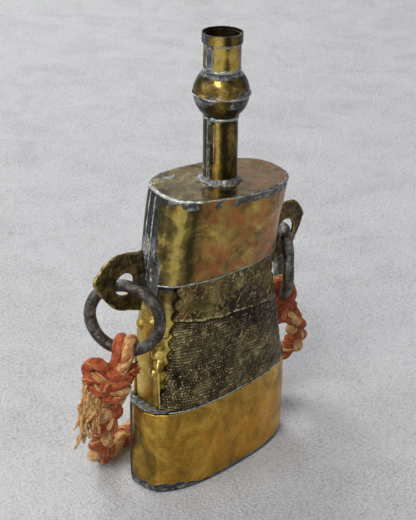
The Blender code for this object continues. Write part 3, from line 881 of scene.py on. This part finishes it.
def frayed_ends(centre, out, rope):
    """The big loops beside the left knot, its tan frayed end and its small tuft."""
    loops = []
    for shift, rise, ahead, wide, tall, turn, pale in (
            (0.0130, 0.0085, 0.0030, 0.0064, 0.0068, -0.6, 0.08),
            (0.0115, 0.0005, 0.0062, 0.0070, 0.0052, -1.4, 0.28),
            (0.0080, -0.0070, 0.0020, 0.0052, 0.0046, -2.0, 0.14)):
        middle = centre + PHOTO_LEFT * shift + UP * rise + out * ahead
        loop = [centre + UP * 0.3 * rise]
        for step in range(11):
            angle = math.pi + 2.0 * math.pi * (step + 0.5) / 11.0 * 0.92 + 0.3 * turn
            loop.append(middle + PHOTO_LEFT * (wide * math.cos(angle)) + UP * (tall * math.sin(angle))
                        + out * (0.0025 * math.sin(angle + turn)))
        loop.append(centre + UP * (0.3 * rise - 0.003))
        loops.append(strand(loop, 0.0042, pale))
    ends, tuft = [], []
    for number in range(40):
        share = (number % 20) / 19.0
        bundle = out * 0.0016 * math.sin(2.4 * number)
        top = (centre + PHOTO_LEFT * (0.0110 + 0.0075 * share)
               + UP * (0.0010 + 0.0030 * math.sin(1.9 * number))
               + out * (0.0045 + 0.0020 * math.cos(1.3 * number)))
        fall = 0.033 + 0.009 * math.sin(1.1 * number) + 0.010 * share
        sway = 0.0032 * math.sin(0.9 * number + 0.5)
        lean = 0.001 + 0.0075 * share
        yarn = [top] + [top - UP * down * fall + PHOTO_LEFT * (aside * lean + swing * sway) + ahead * bundle
                        for down, aside, swing, ahead in ((0.22, 0.3, 1.0, 1.0), (0.45, 0.5, -0.8, -1.0),
                                                          (0.72, 0.8, 0.7, 0.5), (1.0, 1.0, -0.6, 0.0))]
        ends.append(strand(yarn, 0.0007 + 0.00028 * (number % 3), 0.70 + 0.10 * (number % 4)))
        turn = -1.2 + 2.4 * share
        start = centre - PHOTO_LEFT * 0.004 + UP * 0.007 - out * (0.001 + 0.003 * math.sin(1.7 * number))
        reach = (-PHOTO_LEFT * (0.0120 * math.cos(turn)) + UP * (0.0085 * math.sin(turn))
                 - out * (0.003 * math.sin(3.0 * number)))
        curl = UP * (0.0020 * math.sin(4.0 * number)) + out * (0.0015 * math.cos(2.3 * number))
        tip = start + reach * (0.82 + 0.16 * math.sin(5.0 * number)) - 0.5 * curl
        tuft.append(strand([start, start + reach * 0.5 + curl, tip], 0.0009, 0.02 + 0.1 * (number % 3)))
    return [strand_piece("knot_loops_left", loops, rope), strand_piece("frayed_end_left", ends, rope),
            strand_piece("tuft_left", tuft, rope)]


# ---- the bottle ----------------------------------------------------------------
def build_foot(amber):
    def look_front(angle, level, points):
        scored = bump(wander(points * (1.0, 1.0, 0.25), 0.010, 16.0), 0.0, 0.05)
        raised = (dents(points, 11.0, 0.00045) + 0.0008 * bump(angle, -159.0, 1.6)
                  - 0.0005 * scored * smooth(-angle, 165.0, 172.0))
        edge = 0.0038 * (1.0 - 0.75 * smooth(angle, -138.0, -105.0))
        edge = edge * (1.0 + 0.5 * wander(points, 0.012, 15.0))
        smear = np.maximum.reduce([smooth(edge * 1.4 - level, -0.0015, 0.0015),
                                   smooth(-angle, 195.0, 201.0), 0.30 * smooth(-angle, 174.0, 182.0)])
        dark = (0.30 * smooth(-angle, 163.0, 172.0) + 0.4 * smooth(0.010 - level, 0.0, 0.010)
                + 0.7 * smooth(-angle, 190.0, 199.0))
        stain = spots(angle, level, (0.85, -75.0, 0.022, 45.0, 0.026), (0.30, -118.0, 0.034, 16.0, 0.014))
        # painted highlight down the corner crease, with the end beyond it darker
        tone_and_painted_light = (0.02 - 0.07 * smooth(-angle, 158.0, 163.0) + 0.12 * bump(angle, -157.5, 1.4)
                + 0.06 * smooth(-angle, 140.0, 155.0) * smooth(angle, -159.0, -157.0))
        return raised, {"smear": smear, "dark": dark, "stain": stain, "tone_and_painted_light": tone_and_painted_light}

    def look_back(angle, level, points):
        smear = smooth(0.0035 - level, -0.002, 0.002) * smooth(wander(points, 0.015, 19.0), -0.3, 0.2)
        dark = spots(angle, level, (0.5, 120.0, 0.02, 30.0, 0.03))
        stain = spots(angle, level, (0.7, 70.0, 0.03, 40.0, 0.03))
        return dents(points, 17.0, 0.00045), {"smear": smear, "dark": dark, "stain": stain}

    heights = np.linspace(0.0, FOOT_HEIGHT, 48)
    for side, start, end, look in (("front", -180.0 - FOOT_SEAM, FOOT_SEAM, look_front),
                                   ("back", FOOT_SEAM, 180.0 - FOOT_SEAM, look_back)):
        body_sheet("foot_band_" + side + ".sheet", amber, foot_shape, heights,
                   start + 0.3, end - 0.3, 0.0005, look)


def build_ledges(solder):
    """The leaf-shaped, sloping steps between the foot and the ends of the body."""
    level = FOOT_HEIGHT + GAP
    away = np.linspace(-LEDGE_SPREAD, LEDGE_SPREAD, 90)
    under = -GAP + (SHEET + 2.6 * GAP) * smooth(17.5 - np.abs(away), 0.0, 2.0)
    share = np.linspace(0.0, 1.0, 14)[:, None, None]
    for side, middle in (("left", 180.0), ("right", 0.0)):
        inner = rim(section(level), middle + away, level, under)
        outer = rim(FOOT, middle + away, level)
        points = outer[None] * (1.0 - share) + inner[None] * share
        full = smooth(np.linalg.norm(outer - inner, axis=1)[None, :], 0.0, 0.004)
        rise = 0.0017 * share[..., 0] + 0.0009 * bump(share[..., 0], 0.50, 0.10)
        points[..., 2] += SHEET + (rise + 0.0005 * wander(points, 0.006, 2.0)) * full
        sheet("foot_ledge_" + side + ".leaf", points, solder)


def bosses(points, places):
    """Round bosses pushed out from behind, each (angle, height, radius)."""
    raised = np.zeros(points.shape[:-1])
    for angle, level, radius in places:
        middle = rim(section(level), angle, level, lower_layer(level))
        near = np.linalg.norm(points - middle, axis=-1) / radius
        raised = np.maximum(raised, 0.62 * radius * np.clip(1.0 - near ** 2, 0.0, 1.0) ** 0.9)
    return raised


def chased_look(angle, level, points):
    """The front panel: rows of small squares below, and scribbled waves above a ridge."""
    edge = 0.1320 - 0.00016 * (angle + 133.0) + 0.0016 * wander(points, 0.012, 4.0)
    plain = smooth(level, edge - 0.001, edge + 0.002)
    # squares, on lines that wander and break down into plain rows and columns
    across = row_lengths(points)
    column = (across + rough(points, (0.0013, 0.016, 31.0), (0.0006, 0.0050, 33.0))) / SQUARE_WIDTH
    row = level + rough(points, (0.0011, 0.015, 36.0), (0.0006, 0.0045, 38.0)) + 0.06 * across
    row = row / SQUARE_HEIGHT
    tall = np.abs(np.sin(np.pi * column)) ** 0.7
    flat = np.abs(np.sin(np.pi * row)) ** 0.7
    each = np.sin(np.floor(column) * 12.9898 + np.floor(row) * 78.233) * 43758.5453
    each = each - np.floor(each)
    near_left = smooth(-angle, 116.0, 128.0) * smooth(level, 0.090, 0.104)
    rows = smooth(wander(points, 0.014, 41.0) + 0.9 * near_left, 0.25, 0.55)
    columns = smooth(wander(points, 0.012, 43.0), 0.30, 0.55)
    squares = (tall * (1.0 - rows) + rows) * (flat * (1.0 - columns) + columns) * (0.42 + 0.58 * each)
    strength = 0.60 + 0.40 * smooth(wander(points, 0.008, 35.0), -0.4, 0.4)
    chased = 0.00095 * strength * (squares - 0.4)
    # waves scribbled on the upper part
    scribble = np.abs(wander(points, 0.0062, 51.0))
    line = bump(scribble, 0.0, 0.05) * smooth(wander(points, 0.012, 53.0), -0.05, 0.15)
    ridge = 0.0009 * bump(level, edge, 0.0007) * smooth(-angle, 80.0, 105.0)
    raised = (chased * (1.0 - plain) - 0.0008 * line * plain + ridge
              + rough(points, (0.0005, 0.013, 3.0), (0.00030, 0.0036, 57.0)))
    stain = 0.45 * smooth(angle, -60.0, -40.0) + spots(
        angle, level, (1.1, -84.0, 0.130, 15.0, 0.018), (0.8, -68.0, 0.110, 20.0, 0.024),
        (0.5, -118.0, 0.152, 14.0, 0.006), (0.55, -128.0, 0.108, 10.0, 0.012))
    # bare brass where wear has reached it, a painted highlight beside the scribbled lines and along the top
    # of the ridge, and a painted shadow just under the ridge
    worn_and_painted_light = np.clip(squares * (0.6 + 0.4 * strength) * 1.25, 0.0, 1.0) * (1.0 - plain)
    worn_and_painted_light = worn_and_painted_light + plain * (1.0 - line) * (0.50 + 0.35 * bump(scribble, 0.13, 0.04))
    worn_and_painted_light = worn_and_painted_light + 0.6 * bump(level - edge, 0.0006, 0.0006)
    worn_and_painted_light = np.clip(worn_and_painted_light * (1.0 - bump(level - edge, -0.0010, 0.0007)), 0.0, 1.0)
    worn_and_painted_light = worn_and_painted_light * (1.0 - 0.8 * bump(from_toothed_edge(angle, level), 0.0, 1.6))
    return raised, {"high": worn_and_painted_light, "plain": plain, "stain": stain}


def build_waist(dark, brass):
    low = FOOT_HEIGHT + SHEET + 2.0 * GAP
    high = WAIST_TOP + 0.0030
    fine = np.linspace(low, high, 180)
    edge = seam(fine) - cramps(fine)
    body_sheet("waist_panel_front.chased", dark, section, fine,
               edge - 180.0, -edge, 0.00040, chased_look, upper_layer)
    heights = np.linspace(low, high, 110)
    edge = seam(heights)

    def look_back(angle, level, points):
        return dents(points, 23.0, 0.0005), {
            "smear": spots(angle, level, (0.7, 140.0, 0.07, 14.0, 0.006)),
            "dark": spots(angle, level, (0.7, 90.0, 0.12, 40.0, 0.03)),
            "stain": spots(angle, level, (0.9, 60.0, 0.10, 30.0, 0.03))}

    body_sheet("waist_panel_back.sheet", brass, section, heights,
               edge, 180.0 - edge, 0.0006, look_back, upper_layer)

    def look_side(angle, level, points):
        # the right end repeats the left one, half a turn on
        turned = np.where(angle < -90.0, angle, angle - 180.0)
        mirrored = [(place + 180.0, height + 0.004, radius) for place, height, radius in BOSSES]
        fold = bump(turned, -163.0, 2.4) * smooth(0.108 - level, 0.0, 0.014)
        joints = from_toothed_edge(angle, level)
        raised = (dents(points, 29.0, 0.00022) + bosses(points, BOSSES) + bosses(points, mirrored)
                  + 0.0023 * fold - 0.0006 * bump(joints, 0.0, 1.6))
        # painted shade: darker at the top where the sheet lies under the shoulder band's edge, and between
        # the bosses and the toothed edge; also darker along the toothed joint
        dark = (0.7 * smooth(level, 0.126, 0.150) + 0.6 * bump(joints, 0.0, 1.2)
                + 0.5 * smooth(turned, -147.0, -138.0) * smooth(level, 0.10, 0.13))
        # painted highlight down the corner fold, darker just beside it
        tone_and_painted_light = 0.02 + 0.30 * bump(turned, -163.5, 2.2) - 0.12 * bump(turned, -156.0, 3.0)
        return raised, {"smear": smooth(level, 0.148, 0.157) * 0.9, "dark": dark, "tone_and_painted_light": tone_and_painted_light}

    for side, middle in (("left", -180.0), ("right", 0.0)):
        body_sheet("waist_side_" + side + ".sheet", brass, section, heights,
                   middle - edge - SIDE_LAP, middle + edge + SIDE_LAP, 0.0004, look_side, lower_layer)


def build_shoulder(copper):
    def look_front(angle, level, points):
        boundary = -173.0 + (0.201 - level) * 270.0
        top_edge = smooth(level, 0.2085, 0.2135) * smooth(wander(points, 0.014, 5.0), -0.15, 0.15)
        smear = np.maximum.reduce([smooth(boundary - angle, -4.0, 5.0), 0.9 * top_edge,
                                   0.75 * spot(angle, level, -12.0, 0.168, 10.0, 0.014)])
        stain = 0.85 * smooth(angle, -128.0, -116.0) + 0.30 * smooth(angle, -85.0, -50.0)
        bend = angle + 5.0 * wander(points, 0.022, 39.0) - 60.0 * (level - 0.19)
        # painted highlight: a bright upright band near -143 degrees, with darker stripes beside it
        tone_and_painted_light = (0.24 * bump(bend, -143.0, 4.5) - 0.13 * bump(bend, -128.0, 3.5)
                - 0.10 * bump(bend, -158.0, 4.0) + 0.03 * smooth(angle, -118.0, -100.0))
        left_end = smooth(-angle, 158.0, 166.0) * (0.35 + 0.65 * smooth(level, 0.178, 0.194))
        dark = 0.9 * left_end + 0.45 * smooth(angle, -22.0, -8.0)
        return dents(points, 37.0, 0.00045), {"smear": smear, "stain": stain, "dark": dark, "tone_and_painted_light": tone_and_painted_light}

    def look_back(angle, level, points):
        left_end = smooth(angle, 150.0, 160.0) * smooth(level, 0.162, 0.176)
        dark = np.maximum(0.9 * left_end, 0.5 * spot(angle, level, 130.0, 0.18, 20.0, 0.03))
        return dents(points, 43.0, 0.00045), {
            "smear": 0.9 * smooth(angle, 158.0, 170.0) + 0.9 * smooth(8.0 - angle, -4.0, 4.0),
            "stain": 0.9 * spot(angle, level, 90.0, 0.19, 50.0, 0.03), "dark": dark}

    heights = np.linspace(WAIST_TOP, PLATE_TOP - SHEET - GAP, 60)
    for side, start, end, look in (("front", -179.7, -0.3, look_front), ("back", 0.3, 179.7, look_back)):
        body_sheet("shoulder_band_" + side + ".sheet", copper, section, heights,
                   start, end, 0.0006, look)


def build_plate(metal):
    """The shoulder plate, in rings from its rim to the neck's foot."""
    steps = 180
    shape = section(PLATE_TOP)
    outer = rim(shape, even_angles(shape, -180.0, 180.0, steps)[:-1], PLATE_TOP)
    around_neck = np.arctan2(outer[:, 1] - NECK_Y, outer[:, 0] - NECK_X)
    hole = NECK_RADIUS - TUBE_WALL
    inner = np.stack([NECK_X + hole * np.cos(around_neck), NECK_Y + hole * np.sin(around_neck),
                      np.full(steps, PLATE_TOP)], axis=1)
    share = np.linspace(0.0, 1.0, 34)[:, None, None]
    plain = outer[None] * (1.0 - share) + inner[None] * share
    inwards = share[..., 0]
    x, y = plain[..., 0], plain[..., 1]
    points = plain.copy()
    points[..., 2] += inwards * (1.0 - inwards) * 4.0 * (rough(plain, (0.0005, 0.020, 6.0)) - 0.0004)
    points[..., 2] += rough(plain, (0.0002, 0.006, 8.0)) - 0.0005 * smooth(1.0 - inwards, 0.94, 1.0)
    at_rim = smooth(0.06 - inwards, -0.02, 0.03) * smooth(wander(plain, 0.016, 12.0), -0.2, 0.1)
    smear = np.maximum.reduce(np.broadcast_arrays(
        0.9 * smooth(inwards, 0.84, 0.93), 0.8 * spot(x, y, 0.026, 0.014, 0.010, 0.006),
        0.8 * at_rim, 0.75 * spot(x, y, -0.022, 0.022, 0.012, 0.004)))
    # the dark mark here is a painted dark reflection of the neck, growing darker towards the neck
    marks = {"smear": smear, "stain": smooth(x + 0.008 * wander(plain, 0.02, 3.0), -0.012, 0.015),
             "dark": 0.5 * smooth(inwards, 0.72, 0.90)}
    sheet("shoulder_plate.sheet", points, metal, marks, loop_columns=True)


def lap(angle, middle):
    """A lapped seam: a step up at the middle that dies away to one side."""
    away = past(angle, middle)
    return np.where(away > 0.0, bump(away, 0.0, 26.0), bump(away, 0.0, 1.4))


def from_axis(points):
    return np.hypot(points[..., 0] - NECK_X, points[..., 1] - NECK_Y)


def build_tube(name, metal, radius, low, high, seam_angle, wall, rows, band_end, bright):
    """A tube of the neck, lapped at seam_angle, with solder beside the seam up to band_end."""
    levels = np.linspace(low, high, rows)
    profile = [(radius, level) for level in levels] + [(radius - wall, level) for level in levels[::-1]]

    def relief(angle, level, points):
        flutes = rough(points * (1.0, 1.0, 0.12), (0.00016, 0.0045, 21.0))
        raised = 0.00042 * lap(angle, seam_angle) + flutes + rough(points, (0.00022, 0.010, 24.0))
        return raised * (from_axis(points) > radius - 0.4 * wall)

    def marks(angle, level, points):
        away = past(angle, seam_angle)
        band = smooth(away, -4.0, 0.0) * smooth(band_end - away, 0.0, 10.0)
        ends = smooth(np.abs(level - 0.5 * (low + high)) / (0.5 * (high - low)), 0.86, 0.98)
        inner = from_axis(points) < radius - 0.6 * wall
        # painted highlight down the side facing the camera and key light, painted shade on the sides turned
        # away and painted shade inside the tube; bright lifts or lowers the whole tube
        face = past(angle, -134.0) + rough(points * (1.0, 1.0, 0.3), (3.0, 0.012, 25.0))
        tone_and_painted_light = (0.30 * bump(face, -11.0, 9.0) - 0.16 * bump(face, 14.0, 7.0) + 0.04 * bump(face, 32.0, 8.0)
                - 0.16 * smooth(np.abs(face), 40.0, 75.0) + bright)
        return {"smear": np.maximum(band * 0.8, 0.6 * ends) * ~inner,
                "dark": np.where(inner, 0.7, 0.0), "tone_and_painted_light": tone_and_painted_light}

    revolve(name + ".lapped", profile, metal, relief, 96, marks)


def build_cup(name, metal, bottom, top, lower):
    """One half of the knob, between two angles up from its middle."""
    turn = np.linspace(bottom, top, 26)
    profile = [(size * math.cos(angle), KNOB_HEIGHT + size * math.sin(angle))
               for size, angles in ((KNOB_RADIUS, turn), (KNOB_RADIUS - TUBE_WALL, turn[::-1]))
               for angle in angles]

    def relief(angle, level, points):
        flange = 0.0007 * bump(level, KNOB_HEIGHT, 0.0011)
        return rough(points, (0.00035, 0.012, 61.0), (0.00012, 0.004, 63.0)) + flange

    def marks(angle, level, points):
        band = smooth(0.0062 - np.abs(level - KNOB_HEIGHT + 0.0015), -0.003, 0.003)
        band = band * smooth(wander(points, 0.010, 66.0), -0.2, 0.1)
        top_smear = smooth(level, KNOB_HEIGHT + 0.010, KNOB_HEIGHT + 0.0135)
        # painted highlight on the side facing the camera and key light, painted shade on the sides turned
        # away, and the lower half darker as painted shade
        face = past(angle, -140.0)
        tone_and_painted_light = 0.10 * bump(face, -6.0, 22.0) - 0.05 - 0.16 * smooth(np.abs(face), 35.0, 75.0)
        if lower:
            dark = 0.55 * smooth(KNOB_HEIGHT - 0.004 - level, 0.0, 0.008)
            return {"smear": np.maximum(0.8 * band, 0.7 * top_smear), "dark": dark, "tone_and_painted_light": tone_and_painted_light - 0.08}
        dark = 0.25 * smooth(np.abs(angle + 134.0), 60.0, 110.0)
        return {"smear": np.maximum(0.5 * band, 0.7 * top_smear), "dark": dark, "tone_and_painted_light": tone_and_painted_light}

    revolve(name + ".cup", profile, metal, relief, 96, marks)


def ragged_collar(solder):
    """The lumpy ring of solder where the neck stands on the plate."""
    profile = [(NECK_RADIUS + out, PLATE_TOP + up) for out, up in (
        (-0.0003, -0.0003), (0.0036, -0.0003), (0.0032, 0.0004), (0.0018, 0.0009),
        (0.0009, 0.0018), (0.0005, 0.0030), (-0.0003, 0.0034))]

    def relief(angle, level, points):
        out = np.clip(from_axis(points) - NECK_RADIUS, 0.0, None)
        return out * rough(points, (0.40, 0.007, 81.0), (0.40, 0.0024, 83.0))

    revolve("neck_foot_solder.collar", profile, solder, relief, 120)


def build_neck(metal, solder, collar_solder):
    tube_end = KNOB_HEIGHT - math.sqrt(KNOB_RADIUS ** 2 - NECK_RADIUS ** 2)
    throat_start = KNOB_HEIGHT + math.sqrt(KNOB_RADIUS ** 2 - THROAT_RADIUS ** 2)
    band_start = MOUTH_HEIGHT - MOUTH_BAND
    build_tube("neck_tube_lower", metal, NECK_RADIUS, PLATE_TOP + GAP, tube_end - GAP, -183.0,
               TUBE_WALL, 44, 18.0, -0.08)
    build_tube("neck_tube_upper", metal, THROAT_RADIUS, throat_start + GAP, MOUTH_HEIGHT - 0.0016, -188.0,
               TUBE_WALL, 28, 32.0, 0.06)
    build_tube("mouth_band", metal, MOUTH_RADIUS, band_start, MOUTH_HEIGHT, -196.0,
               MOUTH_RADIUS - THROAT_RADIUS - GAP, 10, 26.0, -0.08)
    half_gap = GAP / (2.0 * KNOB_RADIUS)
    build_cup("knob_lower_half", metal, math.asin((tube_end - KNOB_HEIGHT) / KNOB_RADIUS), -half_gap, True)
    build_cup("knob_upper_half", metal, half_gap, math.asin((throat_start - KNOB_HEIGHT) / KNOB_RADIUS),
              False)
    ragged_collar(collar_solder)
    turn = np.radians(np.linspace(-180.0, 180.0, 120))
    outwards = np.stack([np.cos(turn), np.sin(turn), np.zeros(len(turn))], axis=1)
    for name, radius, level, width in (
        ("knob_bead_lower", NECK_RADIUS, tube_end - 0.0016, 0.0026),
        ("knob_bead_upper", THROAT_RADIUS, throat_start + 0.0015, 0.0024),
        ("knob_seam_solder", KNOB_RADIUS + 0.0005, KNOB_HEIGHT - 0.0004, 0.0014),
        ("throat_solder", THROAT_RADIUS, band_start - 0.0012, 0.0011),
    ):
        path = outwards * radius + (NECK_X, NECK_Y, level)
        path[:, 2] += 0.0004 * wander(path, 0.008, 71.0)
        solder_run(name + ".run", path, outwards, width, 0.0007, solder, 73.0, (name,))


def build_solder(pale, mass):
    """Runs of solder along the body's joints, all laid on the sheets' outsides."""
    waist, foot, top = WAIST_TOP - 0.0002, FOOT_HEIGHT + 0.0008, PLATE_TOP - 0.0008
    for name, level, start, end, width, lift, seed in (
        ("waist_joint_front", waist, -178.0, -2.0, 0.0012, 0.0004, 91.0),
        ("waist_joint_back", waist, 2.0, 178.0, 0.0016, 0.0005, 93.0),
        ("foot_joint_front", foot, -152.0, -28.0, 0.0014, 0.0005, 95.0),
        ("foot_joint_back", foot, 28.0, 152.0, 0.0016, 0.0005, 97.0),
        ("rim_joint_front", top, -206.0, 26.0, 0.0012, 0.0003, 99.0),
        ("rim_joint_back", top, 27.0, 153.0, 0.0014, 0.0004, 101.0),
    ):
        path, normals = around(section, level, even_angles(section(level), start, end, 320))
        normals[:, 2] += 0.0006
        solder_run(name, path, normals, width, lift, pale, seed)
    for number, (start, end, width) in enumerate((
            (-204.0, -128.0, 0.0030), (-127.0, -20.0, 0.0012), (-18.0, 150.0, 0.0018))):
        path, normals = around(foot_shape, 0.0012, even_angles(FOOT, start, end, 240))
        solder_run("foot_edge_%d" % (number + 1), path, normals, width, 0.0003, mass, 111.0 + number,
                   sink=0.0003)
    # upright seams on the two ends of the shoulder and of the foot
    band = (WAIST_TOP + 0.001, PLATE_TOP - 0.002)
    base = (0.0015, FOOT_HEIGHT - 0.001)
    for name, shape_at, angle, (low, high), width, metal in (
        ("shoulder_seam_left", section, -180.0, band, 0.0014, pale),
        ("shoulder_edge_left", section, -189.0, (WAIST_TOP + 0.012, PLATE_TOP - 0.002), 0.0011, pale),
        ("shoulder_seam_right", section, 0.0, band, 0.0022, mass),
        ("foot_seam_left", foot_shape, 180.0 - FOOT_SEAM, base, 0.0024, mass),
        ("foot_seam_right", foot_shape, FOOT_SEAM, base, 0.0024, mass),
    ):
        path, normals = around(shape_at, np.linspace(low, high, 90), np.full(90, angle))
        solder_run(name, path, normals, width, 0.0005, metal, 103.0 + 0.1 * angle)
    # the light lines down the neck's lapped seams
    knob, mouth = KNOB_HEIGHT, MOUTH_HEIGHT
    for name, radius, angle, low, high, width in (
        ("neck_seam_line", NECK_RADIUS + 0.0003, -183.0, PLATE_TOP + 0.003, knob - 0.0165, 0.0009),
        ("neck_band_line", NECK_RADIUS + 0.0002, -158.0, PLATE_TOP + 0.003, knob - 0.0190, 0.0006),
        ("throat_seam_line", THROAT_RADIUS + 0.0003, -188.0, knob + 0.0170, mouth - 0.0100, 0.0009),
        ("throat_band_line", THROAT_RADIUS + 0.0003, -166.0, knob + 0.0220, mouth - 0.0140, 0.0005),
    ):
        turn = math.radians(angle)
        outward = np.array((math.cos(turn), math.sin(turn), 0.0))
        path = np.array([(NECK_X, NECK_Y, level) for level in np.linspace(low, high, 80)]) + outward * radius
        solder_run(name, path, np.repeat(outward[None], 80, axis=0), width, 0.0003, pale, 151.0 + 0.1 * angle)


# ---- ears and rings ------------------------------------------------------------
def root_solder(side, solder):
    """The solder that holds an ear to the body: two smooth fillets outside two ragged runs."""
    low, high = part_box("lug_" + side)
    middle = -180.0 if side == "left" else 0.0
    for number, (offset, above_low, above_high, width, lift, lumps) in enumerate((
            (-11.0, 0.012, 0.010, 0.0110, 0.0008, 0.35), (10.0, 0.006, 0.003, 0.0090, 0.0008, 0.35),
            (-5.0, 0.001, 0.004, 0.0048, 0.0018, 0.7), (5.0, 0.001, 0.001, 0.0048, 0.0018, 0.7))):
        levels = np.linspace(low[2] + above_low, high[2] + above_high, 90)
        angles = middle - offset * HAND[side] + 2.0 * np.sin(levels * 180.0)
        path, normals = around(section, levels, angles, -0.0004)
        solder_run("ear_root_%s_%d" % (side, number + 1), path, normals, width, lift, solder,
                   131.0 + number + HAND[side], lumps=lumps)


def build_lug(side, olive, solder):
    """The CAD's ear with rounded edges and hammer marks, and the solder at its root."""
    name = "lug_%s.ear" % side
    lug = bpy.data.objects.new(name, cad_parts["lug_" + side].data.copy())
    bpy.context.scene.collection.objects.link(lug)
    fine = lug.modifiers.new("fine", "REMESH")
    fine.mode = "VOXEL"
    fine.voxel_size = 0.0006
    soften = lug.modifiers.new("soften", "SMOOTH")
    soften.factor = 0.5
    soften.iterations = 3
    mesh = bpy.data.meshes.new_from_object(lug.evaluated_get(bpy.context.evaluated_depsgraph_get()))
    bpy.data.objects.remove(lug, do_unlink=True)
    points = np.zeros(len(mesh.vertices) * 3)
    normals = np.zeros(len(mesh.vertices) * 3)
    mesh.vertices.foreach_get("co", points)
    mesh.vertices.foreach_get("normal", normals)
    points, normals = points.reshape(-1, 3), normals.reshape(-1, 3)
    raised = rough(points, (0.00045, 0.008, 121.0), (0.00025, 0.003, 123.0)) + 0.0001
    mesh.vertices.foreach_set("co", (points + normals * raised[:, None]).ravel())
    inwards = (points[:, 0] - points[:, 0].mean()) * -HAND[side]
    set_marks(mesh, {"smear": 0.50 * smooth(inwards, 0.004, 0.016)}, len(points))
    mesh.materials.clear()
    mesh.materials.append(olive)
    mesh.shade_smooth()
    mesh.update()
    finish_piece(bpy.data.objects.new(name, mesh), "bottle", ("lug_" + side,))
    root_solder(side, solder)


def build_ring(side, iron):
    """A forged ring: uneven round wire, bent to a circle and butted together."""
    pivot, wire, out = ring_place(side)
    centre = pivot - UP * RING_RADIUS
    steps, sides = 200, 28
    turn = np.linspace(0.0, 2.0 * np.pi, steps, endpoint=False)[:, None]
    over = np.linspace(0.0, 2.0 * np.pi, sides, endpoint=False)[None, :]

    def place(radius):
        reach = RING_RADIUS + radius * np.cos(over)
        return (centre + (reach * np.cos(turn))[..., None] * wire + (reach * np.sin(turn))[..., None] * UP
                + (radius * np.sin(over))[..., None] * out)

    plain = place(np.full((steps, sides), WIRE_RADIUS))
    uneven = rough(plain, (0.00022, 0.008, 141.0), (0.00012, 0.0028, 143.0))
    joint = math.radians(-62.0 if side == "left" else -120.0)
    near = (turn - joint + np.pi) % (2.0 * np.pi) - np.pi
    points = place(WIRE_RADIUS - 0.0001 + uneven - 0.0006 * bump(near, 0.0, 0.016))
    flat = np.stack(np.broadcast_arrays(turn * RING_RADIUS, over * WIRE_RADIUS), axis=-1)
    ring = make_item("ring_%s.forged" % side, points, grid_faces(steps, sides, True, True), iron, flat)
    finish_piece(ring, "ring_" + side, ("ring_" + side,))


# ---- room ----------------------------------------------------------------------
def build_floor():
    """A plain pale grey felt under the object."""
    felt = Finish("grey_felt", 0.0)
    felt.main.inputs["Specular IOR Level"].default_value = 0.1
    colour = felt.mottled((0.070, 8.0, 0.75, 0.8), (0.34, 0.50, 0.70),
                          ((0.420, 0.420, 0.425), (0.540, 0.540, 0.545), (0.630, 0.630, 0.635)))
    grain = felt.noise(0.0022, 3.0, 0.8)
    colour = felt.mix(felt.step(grain, 0.40, 0.62, 0.0, 0.85), colour, (0.72, 0.72, 0.73))
    fleck = felt.step(felt.noise(0.0050, 5.0, 0.8), 0.53, 0.66, 0.0, 0.60)
    colour = felt.mix(fleck, colour, (0.32, 0.32, 0.325))
    felt.relief(grain, 0.0042)
    mesh = bpy.data.meshes.new("floor")
    mesh.from_pydata([(-4, -4, 0), (4, -4, 0), (4, 4, 0), (-4, 4, 0)], [], [(0, 1, 2, 3)])
    mesh.materials.append(felt.done(colour, 0.95))
    floor = bpy.data.objects.new("floor", mesh)
    floor.location.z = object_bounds()[0][2] - 0.0002
    bpy.context.scene.collection.objects.link(floor)
    floor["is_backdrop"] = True


def build_lights():
    world = bpy.data.worlds.new("studio")
    world.use_nodes = True
    background = world.node_tree.nodes["Background"]
    background.inputs["Color"].default_value = (0.93, 0.95, 1.0, 1.0)
    background.inputs["Strength"].default_value = 0.55
    bpy.context.scene.world = world
    for name, place, width, depth, power, colour in (
        ("key", (-1.35, -0.50, 1.70), 0.75, 0.75, 27.0, (1.0, 0.985, 0.96)),
        ("back", (0.60, 2.20, 2.00), 1.6, 1.0, 58.0, (1.0, 1.0, 1.0)),
        ("left", (-2.00, 1.00, 1.20), 0.8, 1.2, 20.0, (0.97, 0.98, 1.0)),
    ):
        light = bpy.data.lights.new(name, "AREA")
        light.shape = "RECTANGLE"
        light.size = width
        light.size_y = depth
        light.energy = power
        light.color = colour
        item = bpy.data.objects.new(name, light)
        item.location = place
        item.rotation_euler = (CAMERA_AIM - Vector(place)).to_track_quat("-Z", "Y").to_euler()
        bpy.context.scene.collection.objects.link(item)
    bpy.context.scene.view_settings.view_transform = "Standard"


def main():
    place_camera()
    build_cords(cord_fibre())
    metal = {name: sheet_metal(name, *settings) for name, settings in SHEET_METALS.items()}
    solder = {name: solder_metal(name, *settings) for name, settings in SOLDERS.items()}
    amber, brass = metal["amber_sheet"], metal["bright_sheet"]
    pale, mass = solder["pale_solder"], solder["dull_solder"]
    build_foot(amber)
    build_ledges(solder["ledge_solder"])
    build_waist(embossed_metal(), brass)
    build_shoulder(metal["coppered_band"])
    build_plate(metal["coppered_plate"])
    build_neck(metal["neck_sheet"], pale, mass)
    build_solder(pale, mass)
    olive, iron = olive_metal(), iron_metal()
    for side in ("left", "right"):
        build_lug(side, olive, solder["smooth_solder"])
        build_ring(side, iron)
    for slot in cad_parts["base_plate"].material_slots:
        slot.material = amber
    build_floor()
    build_lights()


main()
